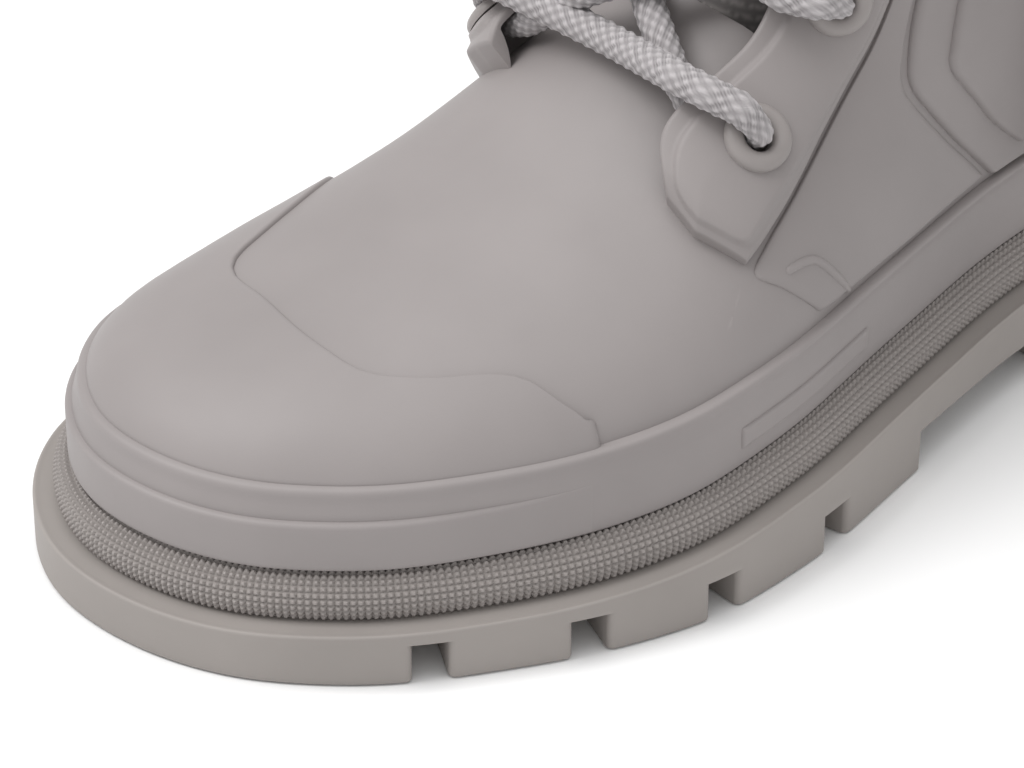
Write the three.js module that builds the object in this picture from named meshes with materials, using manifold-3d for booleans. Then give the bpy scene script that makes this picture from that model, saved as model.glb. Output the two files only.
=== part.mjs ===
// Lace-up moulded rubber ankle boot, left foot.  Units mm, +Z up, toe towards -Y,
// outer (lateral) side towards +X, sole on z = 0.
import * as THREE from 'three';
import Module from 'manifold-3d';

// ---------------------------------------------------------------- dimensions
// outsole plan outline, outer edge of the ledge, toe first, clockwise seen from above
const SOLE_OUTLINE = [[-31, -144.6], [-21, -147.3], [-11.6, -147.6], [-3, -146.5], [4.4, -144.8], [10.7, -142.3], [19.1, -138], [26, -132.2], [34.4, -124], [39.8, -116.8], [43.8, -110.3], [49.6, -99.2], [54, -90.9], [58.7, -78.3], [62.1, -66.4], [63.1, -57.2], [62.6, -46.2], [61.8, -34.5], [60.2, -25], [57.8, -14.7], [54.8, -1], [52, 13], [49, 28], [47, 45], [46, 70], [44, 95], [37, 120], [20, 140], [-4, 146], [-26, 134], [-37, 108], [-38.5, 76], [-37.5, 48], [-39.6, 20], [-45, -6], [-51.5, -32], [-57, -59], [-60, -88], [-57.5, -117], [-46, -135]];
// height of the sole ledge along the boot
const LEDGE_Y = [-150, -130, -100, -80, -60, -40, -20, 0, 35, 80, 145];
const LEDGE_Z = [9.6, 10.4, 10.8, 11.8, 13.6, 15.2, 16.4, 17.2, 18.8, 20.2, 21];
// height of the foot part along the boot
const TOP_Y = [-160, -155, -140, -125, -105, -80, -55, -30, -5, 25, 60, 100, 160];
const TOP_Z = [51.1, 54.1, 53.7, 53.2, 53.2, 56.4, 64, 78.1, 91.6, 112, 118, 114, 108];
const FOOT_P = 2.1, FOOT_Q = 2.3;                       // section roundness
const RISE_Y = [-160, -20, 20, 60, 110, 160], RISE = [18.15, 18.15, 20, 30, 37, 37];   // height of the upright wall above the ledge
// shaft: front, back and half width against height
const SHAFT_Z = [30, 60, 90, 120, 150, 180, 212];
const SHAFT_FRONT = [10, -2, -14, -6, 8, 16, 20];
const SHAFT_BACK = [126, 128, 124.5, 120, 120, 123, 126];
const SHAFT_HALF = [28, 29.5, 32.5, 35, 37, 39, 41];
const SHAFT_X = 3.5, SHAFT_N = 2.8, BLEND = 12;
const WALL_INSET = 10;            // upper wall inside the ledge edge
const TOE_C = [0, -62], HEEL_C = [4, 92];
const COLLAR_Z = 204;
// sole stack
const GAP = 0.35;
const BAND_R = 5, BAND_INSET = 9.2, BAND_Z = 3.3;    // knurled band: part-round section standing on the ledge
const MID_INSET = 13.9, MID_H = 8.3;
const RAND_INSET = 8.2, RAND_LOW = 8.6, RAND_BEVEL = 19.4, RAND_TOP = 25;
const NOTCH_ROOF = 8.2, NOTCH_DEPTH = 13, ARCH_ROOF = 8.5;
const UPPER_T = 2.2, LOW = 0.5;     // shell thickness; clearance between an overlay and the shell
const LACE_R = 2.55;

// ---------------------------------------------------------------- helpers
const V = (a) => new THREE.Vector3(a[0], a[1], a[2]);
const clamp = (x, a, b) => Math.max(a, Math.min(b, x));
const mix = (a, b, t) => a.map((v, i) => v + (b[i] - v) * t);
function pchip(X, Y) {
  const n = X.length, h = [], d = [], m = new Array(n).fill(0);
  for (let i = 0; i < n - 1; i++) { h.push(X[i + 1] - X[i]); d.push((Y[i + 1] - Y[i]) / h[i]); }
  for (let i = 1; i < n - 1; i++) if (d[i - 1] * d[i] > 0) {
    const w1 = 2 * h[i] + h[i - 1], w2 = h[i] + 2 * h[i - 1];
    m[i] = (w1 + w2) / (w1 / d[i - 1] + w2 / d[i]);
  }
  const end = (h0, h1, d0, d1) => { let v = ((2 * h0 + h1) * d0 - h0 * d1) / (h0 + h1); if (v * d0 <= 0) v = 0; else if (d0 * d1 <= 0 && Math.abs(v) > 3 * Math.abs(d0)) v = 3 * d0; return v; };
  if (n > 2) { m[0] = end(h[0], h[1], d[0], d[1]); m[n - 1] = end(h[n - 2], h[n - 3], d[n - 2], d[n - 3]); } else { m[0] = m[1] = d[0]; }
  return (x) => {
    x = clamp(x, X[0], X[n - 1]); let i = 0; while (i < n - 2 && x > X[i + 1]) i++;
    const t = (x - X[i]) / h[i], t2 = t * t, t3 = t2 * t;
    return Y[i] * (2 * t3 - 3 * t2 + 1) + h[i] * m[i] * (t3 - 2 * t2 + t) + Y[i + 1] * (-2 * t3 + 3 * t2) + h[i] * m[i + 1] * (t3 - t2);
  };
}
function dense(X, Y, x0, x1) {   // 0.5 mm table of a smooth curve
  const f = pchip(X, Y), n = Math.round((x1 - x0) * 2), T = new Float64Array(n + 1);
  for (let i = 0; i <= n; i++) T[i] = f(x0 + i / 2);
  return (x) => { const u = clamp((x - x0) * 2, 0, n - 1e-9), i = Math.floor(u); return T[i] + (T[i + 1] - T[i]) * (u - i); };
}
function resample(P, n, closed = true) {
  const Q = closed ? [...P, P[0]] : P, d = [0];
  for (let i = 1; i < Q.length; i++) d.push(d[i - 1] + Math.hypot(...Q[i].map((v, k) => v - Q[i - 1][k])));
  const out = [], L = d[d.length - 1]; let j = 0;
  for (let i = 0; i < n; i++) {
    const t = L * i / (closed ? n : n - 1); while (j < Q.length - 2 && d[j + 1] < t) j++;
    out.push(mix(Q[j], Q[j + 1], clamp((t - d[j]) / (d[j + 1] - d[j] || 1), 0, 1)));
  }
  return out;
}
function catmull(P, n, closed) {
  const m = P.length, out = [];
  const g = (i) => closed ? P[((i % m) + m) % m] : P[clamp(i, 0, m - 1)];
  for (let k = 0; k < n; k++) {
    const t = closed ? k * m / n : k * (m - 1) / (n - 1), i = Math.min(Math.floor(t), closed ? m - 1 : m - 2), u = t - i;
    const [a, b, c, e] = [g(i - 1), g(i), g(i + 1), g(i + 2)];
    out.push(b.map((_, q) => 0.5 * (2 * b[q] + (c[q] - a[q]) * u + (2 * a[q] - 5 * b[q] + 4 * c[q] - e[q]) * u * u + (3 * b[q] - a[q] - 3 * c[q] + e[q]) * u ** 3)));
  }
  return out;
}
function smooth(P, k) {
  const n = P.length;
  for (let r = 0; r < k; r++) P = P.map((p, i) => p.map((v, q) => (P[(i + n - 1) % n][q] + 2 * v + P[(i + 1) % n][q]) / 4));
  return P;
}
const NO = 1440;
const OUT = smooth(resample(catmull(SOLE_OUTLINE, 2880, true), NO), 300);
const CEN = OUT.reduce((a, p) => [a[0] + p[0] / NO, a[1] + p[1] / NO], [0, 0]);
function outNormal(P, i) {
  const n = P.length, a = P[(i + 3) % n], b = P[(i + n - 3) % n], t = [a[0] - b[0], a[1] - b[1]], l = Math.hypot(...t);
  return [t[1] / l, -t[0] / l];
}
const SGN = OUT.reduce((s, p, i) => { const n = outNormal(OUT, i); return s + n[0] * (p[0] - CEN[0]) + n[1] * (p[1] - CEN[1]); }, 0) > 0 ? 1 : -1;
const inset = (d, k = 60) => smooth(OUT.map((p, i) => { const n = outNormal(OUT, i); return [p[0] - SGN * n[0] * d, p[1] - SGN * n[1] * d]; }), k);
const WALL = inset(WALL_INSET);
const ZL = dense(LEDGE_Y, LEDGE_Z, -165, 165);
const ZT = dense(TOP_Y, TOP_Z, -165, 165);
const ZB = dense(RISE_Y, RISE, -165, 165);
const SF = dense(SHAFT_Z, SHAFT_FRONT, 0, 230), SB = dense(SHAFT_Z, SHAFT_BACK, 0, 230), SW = dense(SHAFT_Z, SHAFT_HALF, 0, 230);
function polar(c) {             // radius of the wall about a centre, 0.5 degree table
  const q = WALL.map((p) => [Math.atan2(p[0] - c[0], -(p[1] - c[1])), Math.hypot(p[0] - c[0], p[1] - c[1])]).sort((a, b) => a[0] - b[0]);
  const T = []; let j = 0;
  const ext = [[q[q.length - 1][0] - 2 * Math.PI, q[q.length - 1][1]], ...q, [q[0][0] + 2 * Math.PI, q[0][1]]];
  for (let i = 0; i <= 720; i++) { const a = -Math.PI + i * Math.PI / 360; while (j < ext.length - 2 && ext[j + 1][0] < a) j++; T.push(ext[j][1] + (ext[j + 1][1] - ext[j][1]) * clamp((a - ext[j][0]) / (ext[j + 1][0] - ext[j][0] || 1), 0, 1)); }
  return (a) => { const u = clamp((a + Math.PI) * 360 / Math.PI, 0, 719.999), i = Math.floor(u); return T[i] + (T[i + 1] - T[i]) * (u - i); };
}
const RT = polar(TOE_C), RH = polar(HEEL_C);
function half(sd) {
  const q = WALL.filter((p) => p[0] * sd > 0).sort((a, b) => a[1] - b[1]), T = []; let j = 0;
  for (let i = 0; i <= 640; i++) { const y = -160 + i / 2; while (j < q.length - 2 && q[j + 1][1] < y) j++; T.push(sd * (q[j][0] + (q[j + 1][0] - q[j][0]) * clamp((y - q[j][1]) / (q[j + 1][1] - q[j][1] || 1), 0, 1))); }
  return (y) => { const u = clamp((y + 160) * 2, 0, 639.999), i = Math.floor(u); return T[i] + (T[i + 1] - T[i]) * (u - i); };
}
const XL = half(1), XM = half(-1);
// signed field, zero on the outer face of the moulded upper, negative inside
function F(x, y, z) {
  const zt = ZT(y), zb = ZL(y) + ZB(y);
  let rho;
  if (y < TOE_C[1]) { const dx = x - TOE_C[0], dy = y - TOE_C[1]; rho = Math.hypot(dx, dy) / RT(Math.atan2(dx, -dy)); }
  else if (y > HEEL_C[1]) { const dx = x - HEEL_C[0], dy = y - HEEL_C[1]; rho = Math.hypot(dx, dy) / RH(Math.atan2(dx, -dy)); }
  else rho = x > 0 ? x / XL(y) : -x / XM(y);
  const zz = Math.max(z - zb, 0) / (zt - zb);
  const ff = ((rho ** FOOT_P + zz ** FOOT_Q) ** (2 / (FOOT_P + FOOT_Q)) - 1) * 45;
  const zc = clamp(z, SHAFT_Z[0], SHAFT_Z[SHAFT_Z.length - 1]), fr = SF(zc), bk = SB(zc), w = SW(zc), cy = (fr + bk) / 2 + (bk - fr) * 0.04;
  const a = Math.abs(x - SHAFT_X) / w, b = y > cy ? (y - cy) / (bk - cy) : (cy - y) / (cy - fr);
  const up = 46 + 16 * clamp((y - 30) / 40, 0, 1), lo = clamp((ZL(y) + up - z) / (up - 26), 0, 1);
  const fs = ((a ** SHAFT_N + b ** SHAFT_N) ** (1 / SHAFT_N) - 1) * w * 0.95 + 16 * lo * lo * (3 - 2 * lo);
  const h = clamp(0.5 + 0.5 * (ff - fs) / BLEND, 0, 1);
  return ff * (1 - h) + fs * h - BLEND * h * (1 - h);
}
function grad(p) {
  const e = 0.4;
  return [(F(p[0] + e, p[1], p[2]) - F(p[0] - e, p[1], p[2])) / (2 * e), (F(p[0], p[1] + e, p[2]) - F(p[0], p[1] - e, p[2])) / (2 * e), (F(p[0], p[1], p[2] + e) - F(p[0], p[1], p[2] - e)) / (2 * e)];
}
function onSurf(p, keepZ = false) {      // nearest point of the upper face and its outward normal
  p = [...p];
  for (let k = 0; k < 25; k++) {
    const f = F(...p), g = grad(p); if (keepZ) g[2] = 0;
    const q = g[0] * g[0] + g[1] * g[1] + g[2] * g[2] + 1e-6; let st = g.map((v) => -v * f / q); const l = Math.hypot(...st);
    if (l > 6) st = st.map((v) => v * 6 / l);
    p = p.map((v, i) => v + st[i] * 0.9); if (Math.abs(f) < 0.003) break;
  }
  const g = grad(p), l = Math.hypot(...g) || 1;
  return { p, n: g.map((v) => v / l) };
}
const off = (s, h) => s.p.map((v, i) => v + s.n[i] * h);

// ---------------------------------------------------------------- mesh building
const group = new THREE.Group(); group.name = 'deck_boot';
const COL = { rubber: 0xa39d9b, sole: 0x98928e, rope: 0x9a9491, lace: 0xb7b2b2, textile: 0x8d8683, foam: 0x77726f, board: 0x6f665c, metal: 0x8c8c8c, plastic: 0xaaa5a3 };
const MATS = {};
for (const k of Object.keys(COL)) MATS[k] = new THREE.MeshStandardMaterial({ color: COL[k], roughness: k === 'metal' ? 0.4 : 0.62, metalness: k === 'metal' ? 0.8 : 0 });
function volume(P, T) {
  let v = 0;
  for (let i = 0; i < T.length; i += 3) {
    const a = P[T[i]], b = P[T[i + 1]], c = P[T[i + 2]];
    v += a[0] * (b[1] * c[2] - b[2] * c[1]) - a[1] * (b[0] * c[2] - b[2] * c[0]) + a[2] * (b[0] * c[1] - b[1] * c[0]);
  }
  return v / 6;
}
function finish(P, T) {
  if (volume(P, T) < 0) for (let i = 0; i < T.length; i += 3) { const t = T[i + 1]; T[i + 1] = T[i + 2]; T[i + 2] = t; }
  return { P, T };
}
function add(name, body, mat) {
  const g = new THREE.BufferGeometry();
  g.setAttribute('position', new THREE.Float32BufferAttribute(body.P.flat(), 3));
  g.setIndex([...body.T]); g.computeVertexNormals();
  const m = new THREE.Mesh(g, MATS[mat].clone()); m.name = name; group.add(m);
  return m;
}
// closed loops of equal length joined in order; wrapU closes each loop, wrapV joins last to first
function skin(rows, wrapU, wrapV, T = [], base = 0) {
  const R = rows.length, N = rows[0].length;
  for (let i = 0; i < (wrapV ? R : R - 1); i++) for (let j = 0; j < (wrapU ? N : N - 1); j++) {
    const a = base + i * N + j, b = base + i * N + (j + 1) % N, c = base + ((i + 1) % R) * N + j, d = base + ((i + 1) % R) * N + (j + 1) % N;
    T.push(a, b, c, b, d, c);
  }
  return T;
}
// thick patch from a grid of surface samples; ho/hi give offsets of the two faces
function slab(S, ho, hi, wrapU = false) {
  const R = S.length, N = S[0].length, P = [], T = [];
  for (const f of [ho, hi]) for (let i = 0; i < R; i++) for (let j = 0; j < N; j++) P.push(off(S[i][j], f(i, j)));
  const M = R * N, id = (l, i, j) => l * M + i * N + (j % N);
  const C = wrapU ? N : N - 1;
  for (let i = 0; i < R - 1; i++) for (let j = 0; j < C; j++) {
    T.push(id(0, i, j), id(0, i, j + 1), id(0, i + 1, j), id(0, i, j + 1), id(0, i + 1, j + 1), id(0, i + 1, j));
    T.push(id(1, i, j), id(1, i + 1, j), id(1, i, j + 1), id(1, i, j + 1), id(1, i + 1, j), id(1, i + 1, j + 1));
  }
  for (let j = 0; j < C; j++) {
    T.push(id(0, 0, j), id(1, 0, j), id(0, 0, j + 1), id(0, 0, j + 1), id(1, 0, j), id(1, 0, j + 1));
    T.push(id(0, R - 1, j), id(0, R - 1, j + 1), id(1, R - 1, j), id(0, R - 1, j + 1), id(1, R - 1, j + 1), id(1, R - 1, j));
  }
  if (!wrapU) for (let i = 0; i < R - 1; i++) {
    T.push(id(0, i, 0), id(0, i + 1, 0), id(1, i, 0), id(1, i, 0), id(0, i + 1, 0), id(1, i + 1, 0));
    T.push(id(0, i, N - 1), id(1, i, N - 1), id(0, i + 1, N - 1), id(1, i, N - 1), id(1, i + 1, N - 1), id(0, i + 1, N - 1));
  }
  return finish(P, T);
}
// grid of surface samples from control rows (each row a polyline), nu across, nv along
function patch(rows, nu, nv, us, vs) {
  const cols = rows.map((r) => resample(r, 41, false));
  const U = us || Array.from({ length: nu }, (_, i) => i / (nu - 1)), W = vs || Array.from({ length: nv }, (_, i) => i / (nv - 1));
  const spl = []; for (let j = 0; j <= 40; j++) spl.push(catmull(cols.map((c) => c[j]), 241, false));
  return W.map((v) => U.map((u) => {
    const a = u * 40, j = Math.min(39, Math.floor(a)), k = Math.round(v * 240);
    return onSurf(mix(spl[j][k], spl[j + 1][k], a - j));
  }));
}
const edged = (R, N, full, low) => (i, j) => (i === 0 || i === R - 1 || j === 0 || j === N - 1 ? low : full);
const CX = (z) => 2.5 * clamp((z - 80) / 50, 0, 1);       // centre plane of the boot, slightly outwards in the shaft
const flip = (p) => [2 * CX(p[2]) - p[0], p[1], p[2]];
const mirror = (rows) => rows.map((r) => r.map(flip));
// stations around the boot, closer together where the outline turns
const ST = (() => {
  const n = NO, w = [0];
  for (let i = 0; i < n; i++) {
    const a = OUT[(i + n - 6) % n], b = OUT[i], c = OUT[(i + 6) % n], t1 = Math.atan2(b[1] - a[1], b[0] - a[0]), t2 = Math.atan2(c[1] - b[1], c[0] - b[0]);
    let d = Math.abs(t2 - t1); if (d > Math.PI) d = 2 * Math.PI - d;
    w.push(w[i] + 0.55 + 0.45 * d / 6 * n / (2 * Math.PI));
  }
  return (m) => { const r = []; let j = 0; for (let k = 0; k < m; k++) { const t = w[n] * k / m; while (w[j + 1] < t) j++; r.push(j + (t - w[j]) / (w[j + 1] - w[j])); } return r; };
})();
const at = (P, s) => { const n = P.length, i = Math.floor(s) % n; return mix(P[i], P[(i + 1) % n], s - Math.floor(s)); };
function orient(body) {          // make all triangles agree, then face out
  const { P, T } = body, n = T.length / 3, edge = new Map();
  for (let t = 0; t < n; t++) for (let k = 0; k < 3; k++) { const a = T[3 * t + k], b = T[3 * t + (k + 1) % 3], key = a < b ? a + '_' + b : b + '_' + a; if (!edge.has(key)) edge.set(key, []); edge.get(key).push([t, a < b]); }
  const seen = new Uint8Array(n), flip = new Uint8Array(n), q = [0]; seen[0] = 1;
  while (q.length) {
    const t = q.pop();
    for (let k = 0; k < 3; k++) {
      const a = T[3 * t + k], b = T[3 * t + (k + 1) % 3], key = a < b ? a + '_' + b : b + '_' + a, me = (a < b) !== !!flip[t];
      for (const [o, d] of edge.get(key)) if (!seen[o]) { seen[o] = 1; flip[o] = d === me ? 1 : 0; q.push(o); }
    }
  }
  for (let t = 0; t < n; t++) if (flip[t]) { const x = T[3 * t + 1]; T[3 * t + 1] = T[3 * t + 2]; T[3 * t + 2] = x; }
  return finish(P, T);
}
const wasm = await Module(); wasm.setup();
const solid = (b) => new wasm.Manifold(new wasm.Mesh({ numProp: 3, vertProperties: new Float32Array(b.P.flat()), triVerts: new Uint32Array(b.T) }));
function fromSolid(m) {
  const g = m.getMesh(), P = [], T = Array.from(g.triVerts);
  for (let i = 0; i < g.vertProperties.length; i += g.numProp) P.push([g.vertProperties[i], g.vertProperties[i + 1], g.vertProperties[i + 2]]);
  return { P, T };
}
function boxAt(c, half, ang) {    // box turned about Z
  const P = [], s = Math.sin(ang), k = Math.cos(ang);
  for (const z of [-1, 1]) for (const [a, b] of [[-1, -1], [1, -1], [1, 1], [-1, 1]]) { const x = a * half[0], y = b * half[1]; P.push([c[0] + x * k - y * s, c[1] + x * s + y * k, c[2] + z * half[2]]); }
  const T = [0, 2, 1, 0, 3, 2, 4, 5, 6, 4, 6, 7, 0, 1, 5, 0, 5, 4, 1, 2, 6, 1, 6, 5, 2, 3, 7, 2, 7, 6, 3, 0, 4, 3, 4, 7];
  return solid(finish(P, T));
}
// upright slab over the inset outline; bottom and top are functions of y, meshed in straight cross strips
const YS = Array.from({ length: 26 }, (_, i) => -162 + i * 13);
function deck(d, lo, hi, m, extra = 60) {
  const Q = inset(d, extra), poly = ST(m).map((t) => at(Q, t)), n = poly.length;
  const P = [...poly.map((p) => [p[0], p[1], -5]), ...poly.map((p) => [p[0], p[1], 90])], T = [];
  for (let i = 0; i < n; i++) { const j = (i + 1) % n; T.push(i, j, n + i, j, n + j, n + i); }
  for (const [a, b, c] of THREE.ShapeUtils.triangulateShape(poly.map((p) => new THREE.Vector2(p[0], p[1])), [])) T.push(a, b, c, n + a, n + c, n + b);
  return solid(orient({ P, T })).intersect(wedge(lo, hi));
}
function wedge(lo, hi, x0 = -90, x1 = 90) {
  const n = YS.length, P = [], T = [];
  for (const x of [x0, x1]) for (const f of [lo, hi]) for (const y of YS) P.push([x, y, f(y)]);
  const id = (a, b, i) => a * 2 * n + b * n + i;
  for (let i = 0; i < n - 1; i++) for (const [a, b, c, e] of [[[0, 0], [0, 1]], [[0, 1], [1, 1]], [[1, 1], [1, 0]], [[1, 0], [0, 0]]].map(([u, v]) => [id(...u, i), id(...u, i + 1), id(...v, i), id(...v, i + 1)])) T.push(a, b, c, b, e, c);
  for (const i of [0, n - 1]) T.push(id(0, 0, i), id(0, 1, i), id(1, 0, i), id(0, 1, i), id(1, 1, i), id(1, 0, i));
  return solid(orient({ P, T }));
}
// tube along a path, closed or with flat ends; r may vary with the station
function tube(path, r, k, closed, up = [0, 0, 1], flat = 1) {
  const n = path.length, P = [], T = []; let N = null;
  for (let i = 0; i < n; i++) {
    const a = V(path[closed ? (i + n - 1) % n : Math.max(i - 1, 0)]), b = V(path[closed ? (i + 1) % n : Math.min(i + 1, n - 1)]), t = b.sub(a).normalize();
    if (!N || closed) { N = V(up); } N = N.clone().sub(t.clone().multiplyScalar(N.dot(t))).normalize();
    const B = t.clone().cross(N), R = typeof r === 'function' ? r(i) : r;
    for (let j = 0; j < k; j++) { const q = 2 * Math.PI * (j + 0.5) / k; P.push(V(path[i]).add(N.clone().multiplyScalar(Math.cos(q) * R * flat)).add(B.clone().multiplyScalar(Math.sin(q) * R)).toArray()); }
  }
  for (let i = 0; i < (closed ? n : n - 1); i++) for (let j = 0; j < k; j++) { const a = i * k + j, b = i * k + (j + 1) % k, c = ((i + 1) % n) * k + j, d = ((i + 1) % n) * k + (j + 1) % k; T.push(a, b, c, b, d, c); }
  if (!closed) for (let j = 1; j < k - 1; j++) { T.push(0, j + 1, j); const o = (n - 1) * k; T.push(o, o + j, o + j + 1); }
  return finish(P, T);
}

// ---------------------------------------------------------------- sole
{
  let m = deck(0, () => 0, ZL, 84, 0);
  // side notches between the lugs, lateral then medial, at these stations along y
  const cut = (y, side, w, tilt) => {
    const Q = OUT.filter((p) => p[0] * side > 0).reduce((a, p) => (Math.abs(p[1] - y) < Math.abs(a[1] - y) ? p : a), [side, 999]);
    const i = OUT.indexOf(Q), n = outNormal(OUT, i).map((v) => v * SGN), ang = Math.atan2(n[1], n[0]) + tilt;
    const c = [Q[0] - Math.cos(ang) * (NOTCH_DEPTH / 2 - 3), Q[1] - Math.sin(ang) * (NOTCH_DEPTH / 2 - 3), NOTCH_ROOF / 2 - 1];
    m = m.subtract(boxAt(c, [NOTCH_DEPTH / 2 + 3, w / 2, NOTCH_ROOF / 2 + 1], ang));
  };
  for (const [y, w] of [[-113.5, 6.6], [-87.3, 6.8], [-60.8, 6.4], [-29.8, 6.4]]) cut(y, 1, w, 0);
  for (const [y, w] of [[-113, 6.6], [-86, 6.6], [-58, 6.6], [-30, 6.6]]) cut(y, -1, w, 0);
  for (const [y, w] of [[72, 6.4], [97, 6.4], [122, 6.4]]) { cut(y, 1, w, 0); cut(y, -1, w, 0); }
  cut(142.5, 1, 7, 0);
  // raised waist
  m = m.subtract(boxAt([3, 21.5, ARCH_ROOF / 2 - 2], [90, 22.5, ARCH_ROOF / 2 + 2], 0.02));
  // cross grooves of the tread
  for (const y of [-122, -104, -86, -68, -50, -32]) m = m.subtract(boxAt([2, y, 1.4], [28, 2.6, 2.4], 0));
  for (const y of [66, 84, 102, 120]) m = m.subtract(boxAt([3, y, 1.4], [20, 2.6, 2.4], 0));
  add('outsole', fromSolid(m), 'sole');
}
add('midsole', fromSolid(deck(MID_INSET, (y) => ZL(y) + GAP, (y) => ZL(y) + MID_H, 60, 100)), 'foam');
// ring around the boot from (inset, height above the ledge) section points
function ringBody(profile, m) {
  const s = ST(m), loops = profile.map(([d, h]) => { const Q = inset(d, 60 + 5 * Math.max(0, d - 10)); return s.map((t) => { const p = at(Q, t); return [p[0], p[1], ZL(p[1]) + h]; }); });
  return finish(loops.flat(), skin(loops, true, true));
}
{
  const sec = [-36, -11, 14, 40, 66, 92, 120].map((a) => [BAND_INSET - BAND_R * Math.cos(a * Math.PI / 180), BAND_Z + BAND_R * Math.sin(a * Math.PI / 180)]);
  sec[0][1] = GAP;
  add('knurled_band', ringBody([...sec, [13.4, 5.8], [13.4, GAP]], 66), 'rope');
}
{ // rand: follows the upper face, full thickness at the foot, bevelled above
  const m = 66, st = ST(m), loop = (h, t) => st.map((k) => { const p = at(WALL, k), z = ZL(p[1]) + h, q = onSurf([p[0], p[1], z], true), l = Math.hypot(q.n[0], q.n[1]); return [q.p[0] + q.n[0] / l * t, q.p[1] + q.n[1] / l * t, z]; });
  const T0 = WALL_INSET - RAND_INSET, loops = [loop(RAND_LOW, LOW), loop(RAND_LOW, T0 - 0.4), loop(RAND_LOW + 0.9, T0), loop(RAND_BEVEL, T0), loop(RAND_TOP - 1, T0 + 0.15), loop(RAND_TOP - 0.1, T0 - 0.5), loop(RAND_TOP - 0.3, LOW), loop(RAND_BEVEL, LOW)];
  add('rand', finish(loops.flat(), skin(loops, true, true)), 'rubber');
}
function lateralAt(y) { return OUT.map((p, i) => [p, i]).filter(([p]) => p[0] > 0).reduce((a, b) => (Math.abs(b[0][1] - y) < Math.abs(a[0][1] - y) ? b : a))[1]; }
function medialAt(y) { return OUT.map((p, i) => [p, i]).filter(([p]) => p[0] < -8).reduce((a, b) => (Math.abs(b[0][1] - y) < Math.abs(a[0][1] - y) ? b : a))[1]; }
function stationRange(i0, i1, n) { let d = i1 - i0; if (d < 0) d += NO; return Array.from({ length: n }, (_, k) => (i0 + d * k / (n - 1)) % NO); }
{ // toe bumper: low band on the rand, thinning out towards both ends
  const i0 = medialAt(-88), i1 = lateralAt(-84), n = 33, s = stationRange(i0, i1, n);
  const face = (d, h) => s.map((t, k) => { const u = Math.abs(2 * k / (n - 1) - 1), f = 1 - Math.max(0, (u - 0.6) / 0.4) ** 2 * 0.75, Q = inset(RAND_INSET - GAP - d * f), p = at(Q, t); return [p[0], p[1], ZL(p[1]) + h]; });
  const rows = [face(0, RAND_LOW + 0.7), face(1.0, RAND_LOW + 0.9), face(1.25, RAND_LOW + 2), face(1.25, RAND_BEVEL - 1.3), face(0.9, RAND_BEVEL - 0.5), face(0, RAND_BEVEL - 0.4)];
  const P = rows.flat(), T = skin(rows, false, true), N = n;
  for (const c of [0, N - 1]) for (let k = 1; k < 5; k++) T.push(c, k * N + c, (k + 1) * N + c);
  add('toe_bumper', orient({ P, T }), 'rubber');
}

// ---------------------------------------------------------------- upper shell
const THROAT = [[0, -15, 87], [9, -14.5, 86], [17, -13, 84.5], [24, -11, 81], [29, -8.5, 79], [32.5, -3, 80.5], [33.5, 2, 87], [34, 6.5, 96], [34.5, 10.5, 110], [35.5, 17, 132], [37, 24.3, 156], [38, 29, 180], [38.5, 32, COLLAR_Z]];
// closed edge of the opening, from the back round the outer side, down the throat and up again
const EDGE = (() => {
  const arc = (sgn) => { const q = []; for (let k = 0; k <= 24; k++) { const z = COLLAR_Z, w = SW(z), bk = SB(z), fr = SF(z), cy = (fr + bk) / 2 + (bk - fr) * 0.04, a = Math.PI / 2 - k / 24 * 2.19, c = Math.cos(a), s = Math.sin(a), e = 2 / SHAFT_N; q.push([SHAFT_X + sgn * w * Math.sign(c) * Math.abs(c) ** e, s > 0 ? cy + (bk - cy) * s ** e : cy - (cy - fr) * (-s) ** e, z]); } return q.filter((p) => p[1] > 33.5); };
  const lat = resample([...arc(1), ...[...THROAT].reverse()], 200, false), med = resample([...arc(-1), ...[...THROAT].reverse().map(flip)], 200, false);
  return [lat, med];
})();
const iToe = OUT.reduce((a, p, i) => (p[1] < OUT[a][1] ? i : a), 0), iHeel = OUT.reduce((a, p, i) => (p[1] > OUT[a][1] ? i : a), 0);
// fraction along the sole outline -> fraction along the opening edge (back = 0, throat bottom = 1)
const MAP = pchip([0, 0.16, 0.34, 0.5, 0.64, 0.82, 1], [0, 0.2, 0.37, 0.55, 0.74, 0.91, 1]);
function meridians(m) {           // list of {B, E}
  const s = ST(m), L = (a, b) => { let d = b - a; if (d < 0) d += NO; return d; };
  const latDir = OUT[(iHeel + 120) % NO][0] > OUT[iHeel][0] ? 1 : -1;
  return s.map((t) => {
    const dl = latDir > 0 ? L(iHeel, t) : L(t, iHeel), tot = latDir > 0 ? L(iHeel, iToe) : L(iToe, iHeel);
    let side, f; if (dl <= tot) { side = 0; f = dl / tot; } else { side = 1; f = (NO - dl) / (NO - tot); }
    const p = at(WALL, t), e = MAP(f), Q = EDGE[side], u = e * (Q.length - 1), i = Math.min(Q.length - 2, Math.floor(u));
    return { B: p, E: mix(Q[i], Q[i + 1], u - i), f };
  });
}
function shellGrid(m, ws, low) {
  return ws.map((w, iw) => meridians(m).map(({ B, E, f }) => {
    const z0 = ZL(B[1]) + low;
    if (w <= 0) return onSurf([B[0], B[1], z0], true);
    const b = [B[0], B[1], z0], k = clamp((f - 0.55) / 0.35, 0, 1), c = mix([B[0] * 1.0, B[1], z0 + (E[2] - z0) * 0.55], [B[0] * 1.0, B[1] - 2, ZT(B[1]) + 6], k);
    const g = [0, 1, 2].map((q) => (1 - w) ** 2 * b[q] + 2 * w * (1 - w) * c[q] + w * w * E[q]);
    return onSurf(g, k < 0.2);
  }));
}
const WS = [0, 0.045, 0.1, 0.17, 0.25, 0.33, 0.41, 0.49, 0.57, 0.66, 0.75, 0.84, 0.925, 1];
const NS = 54;
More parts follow.
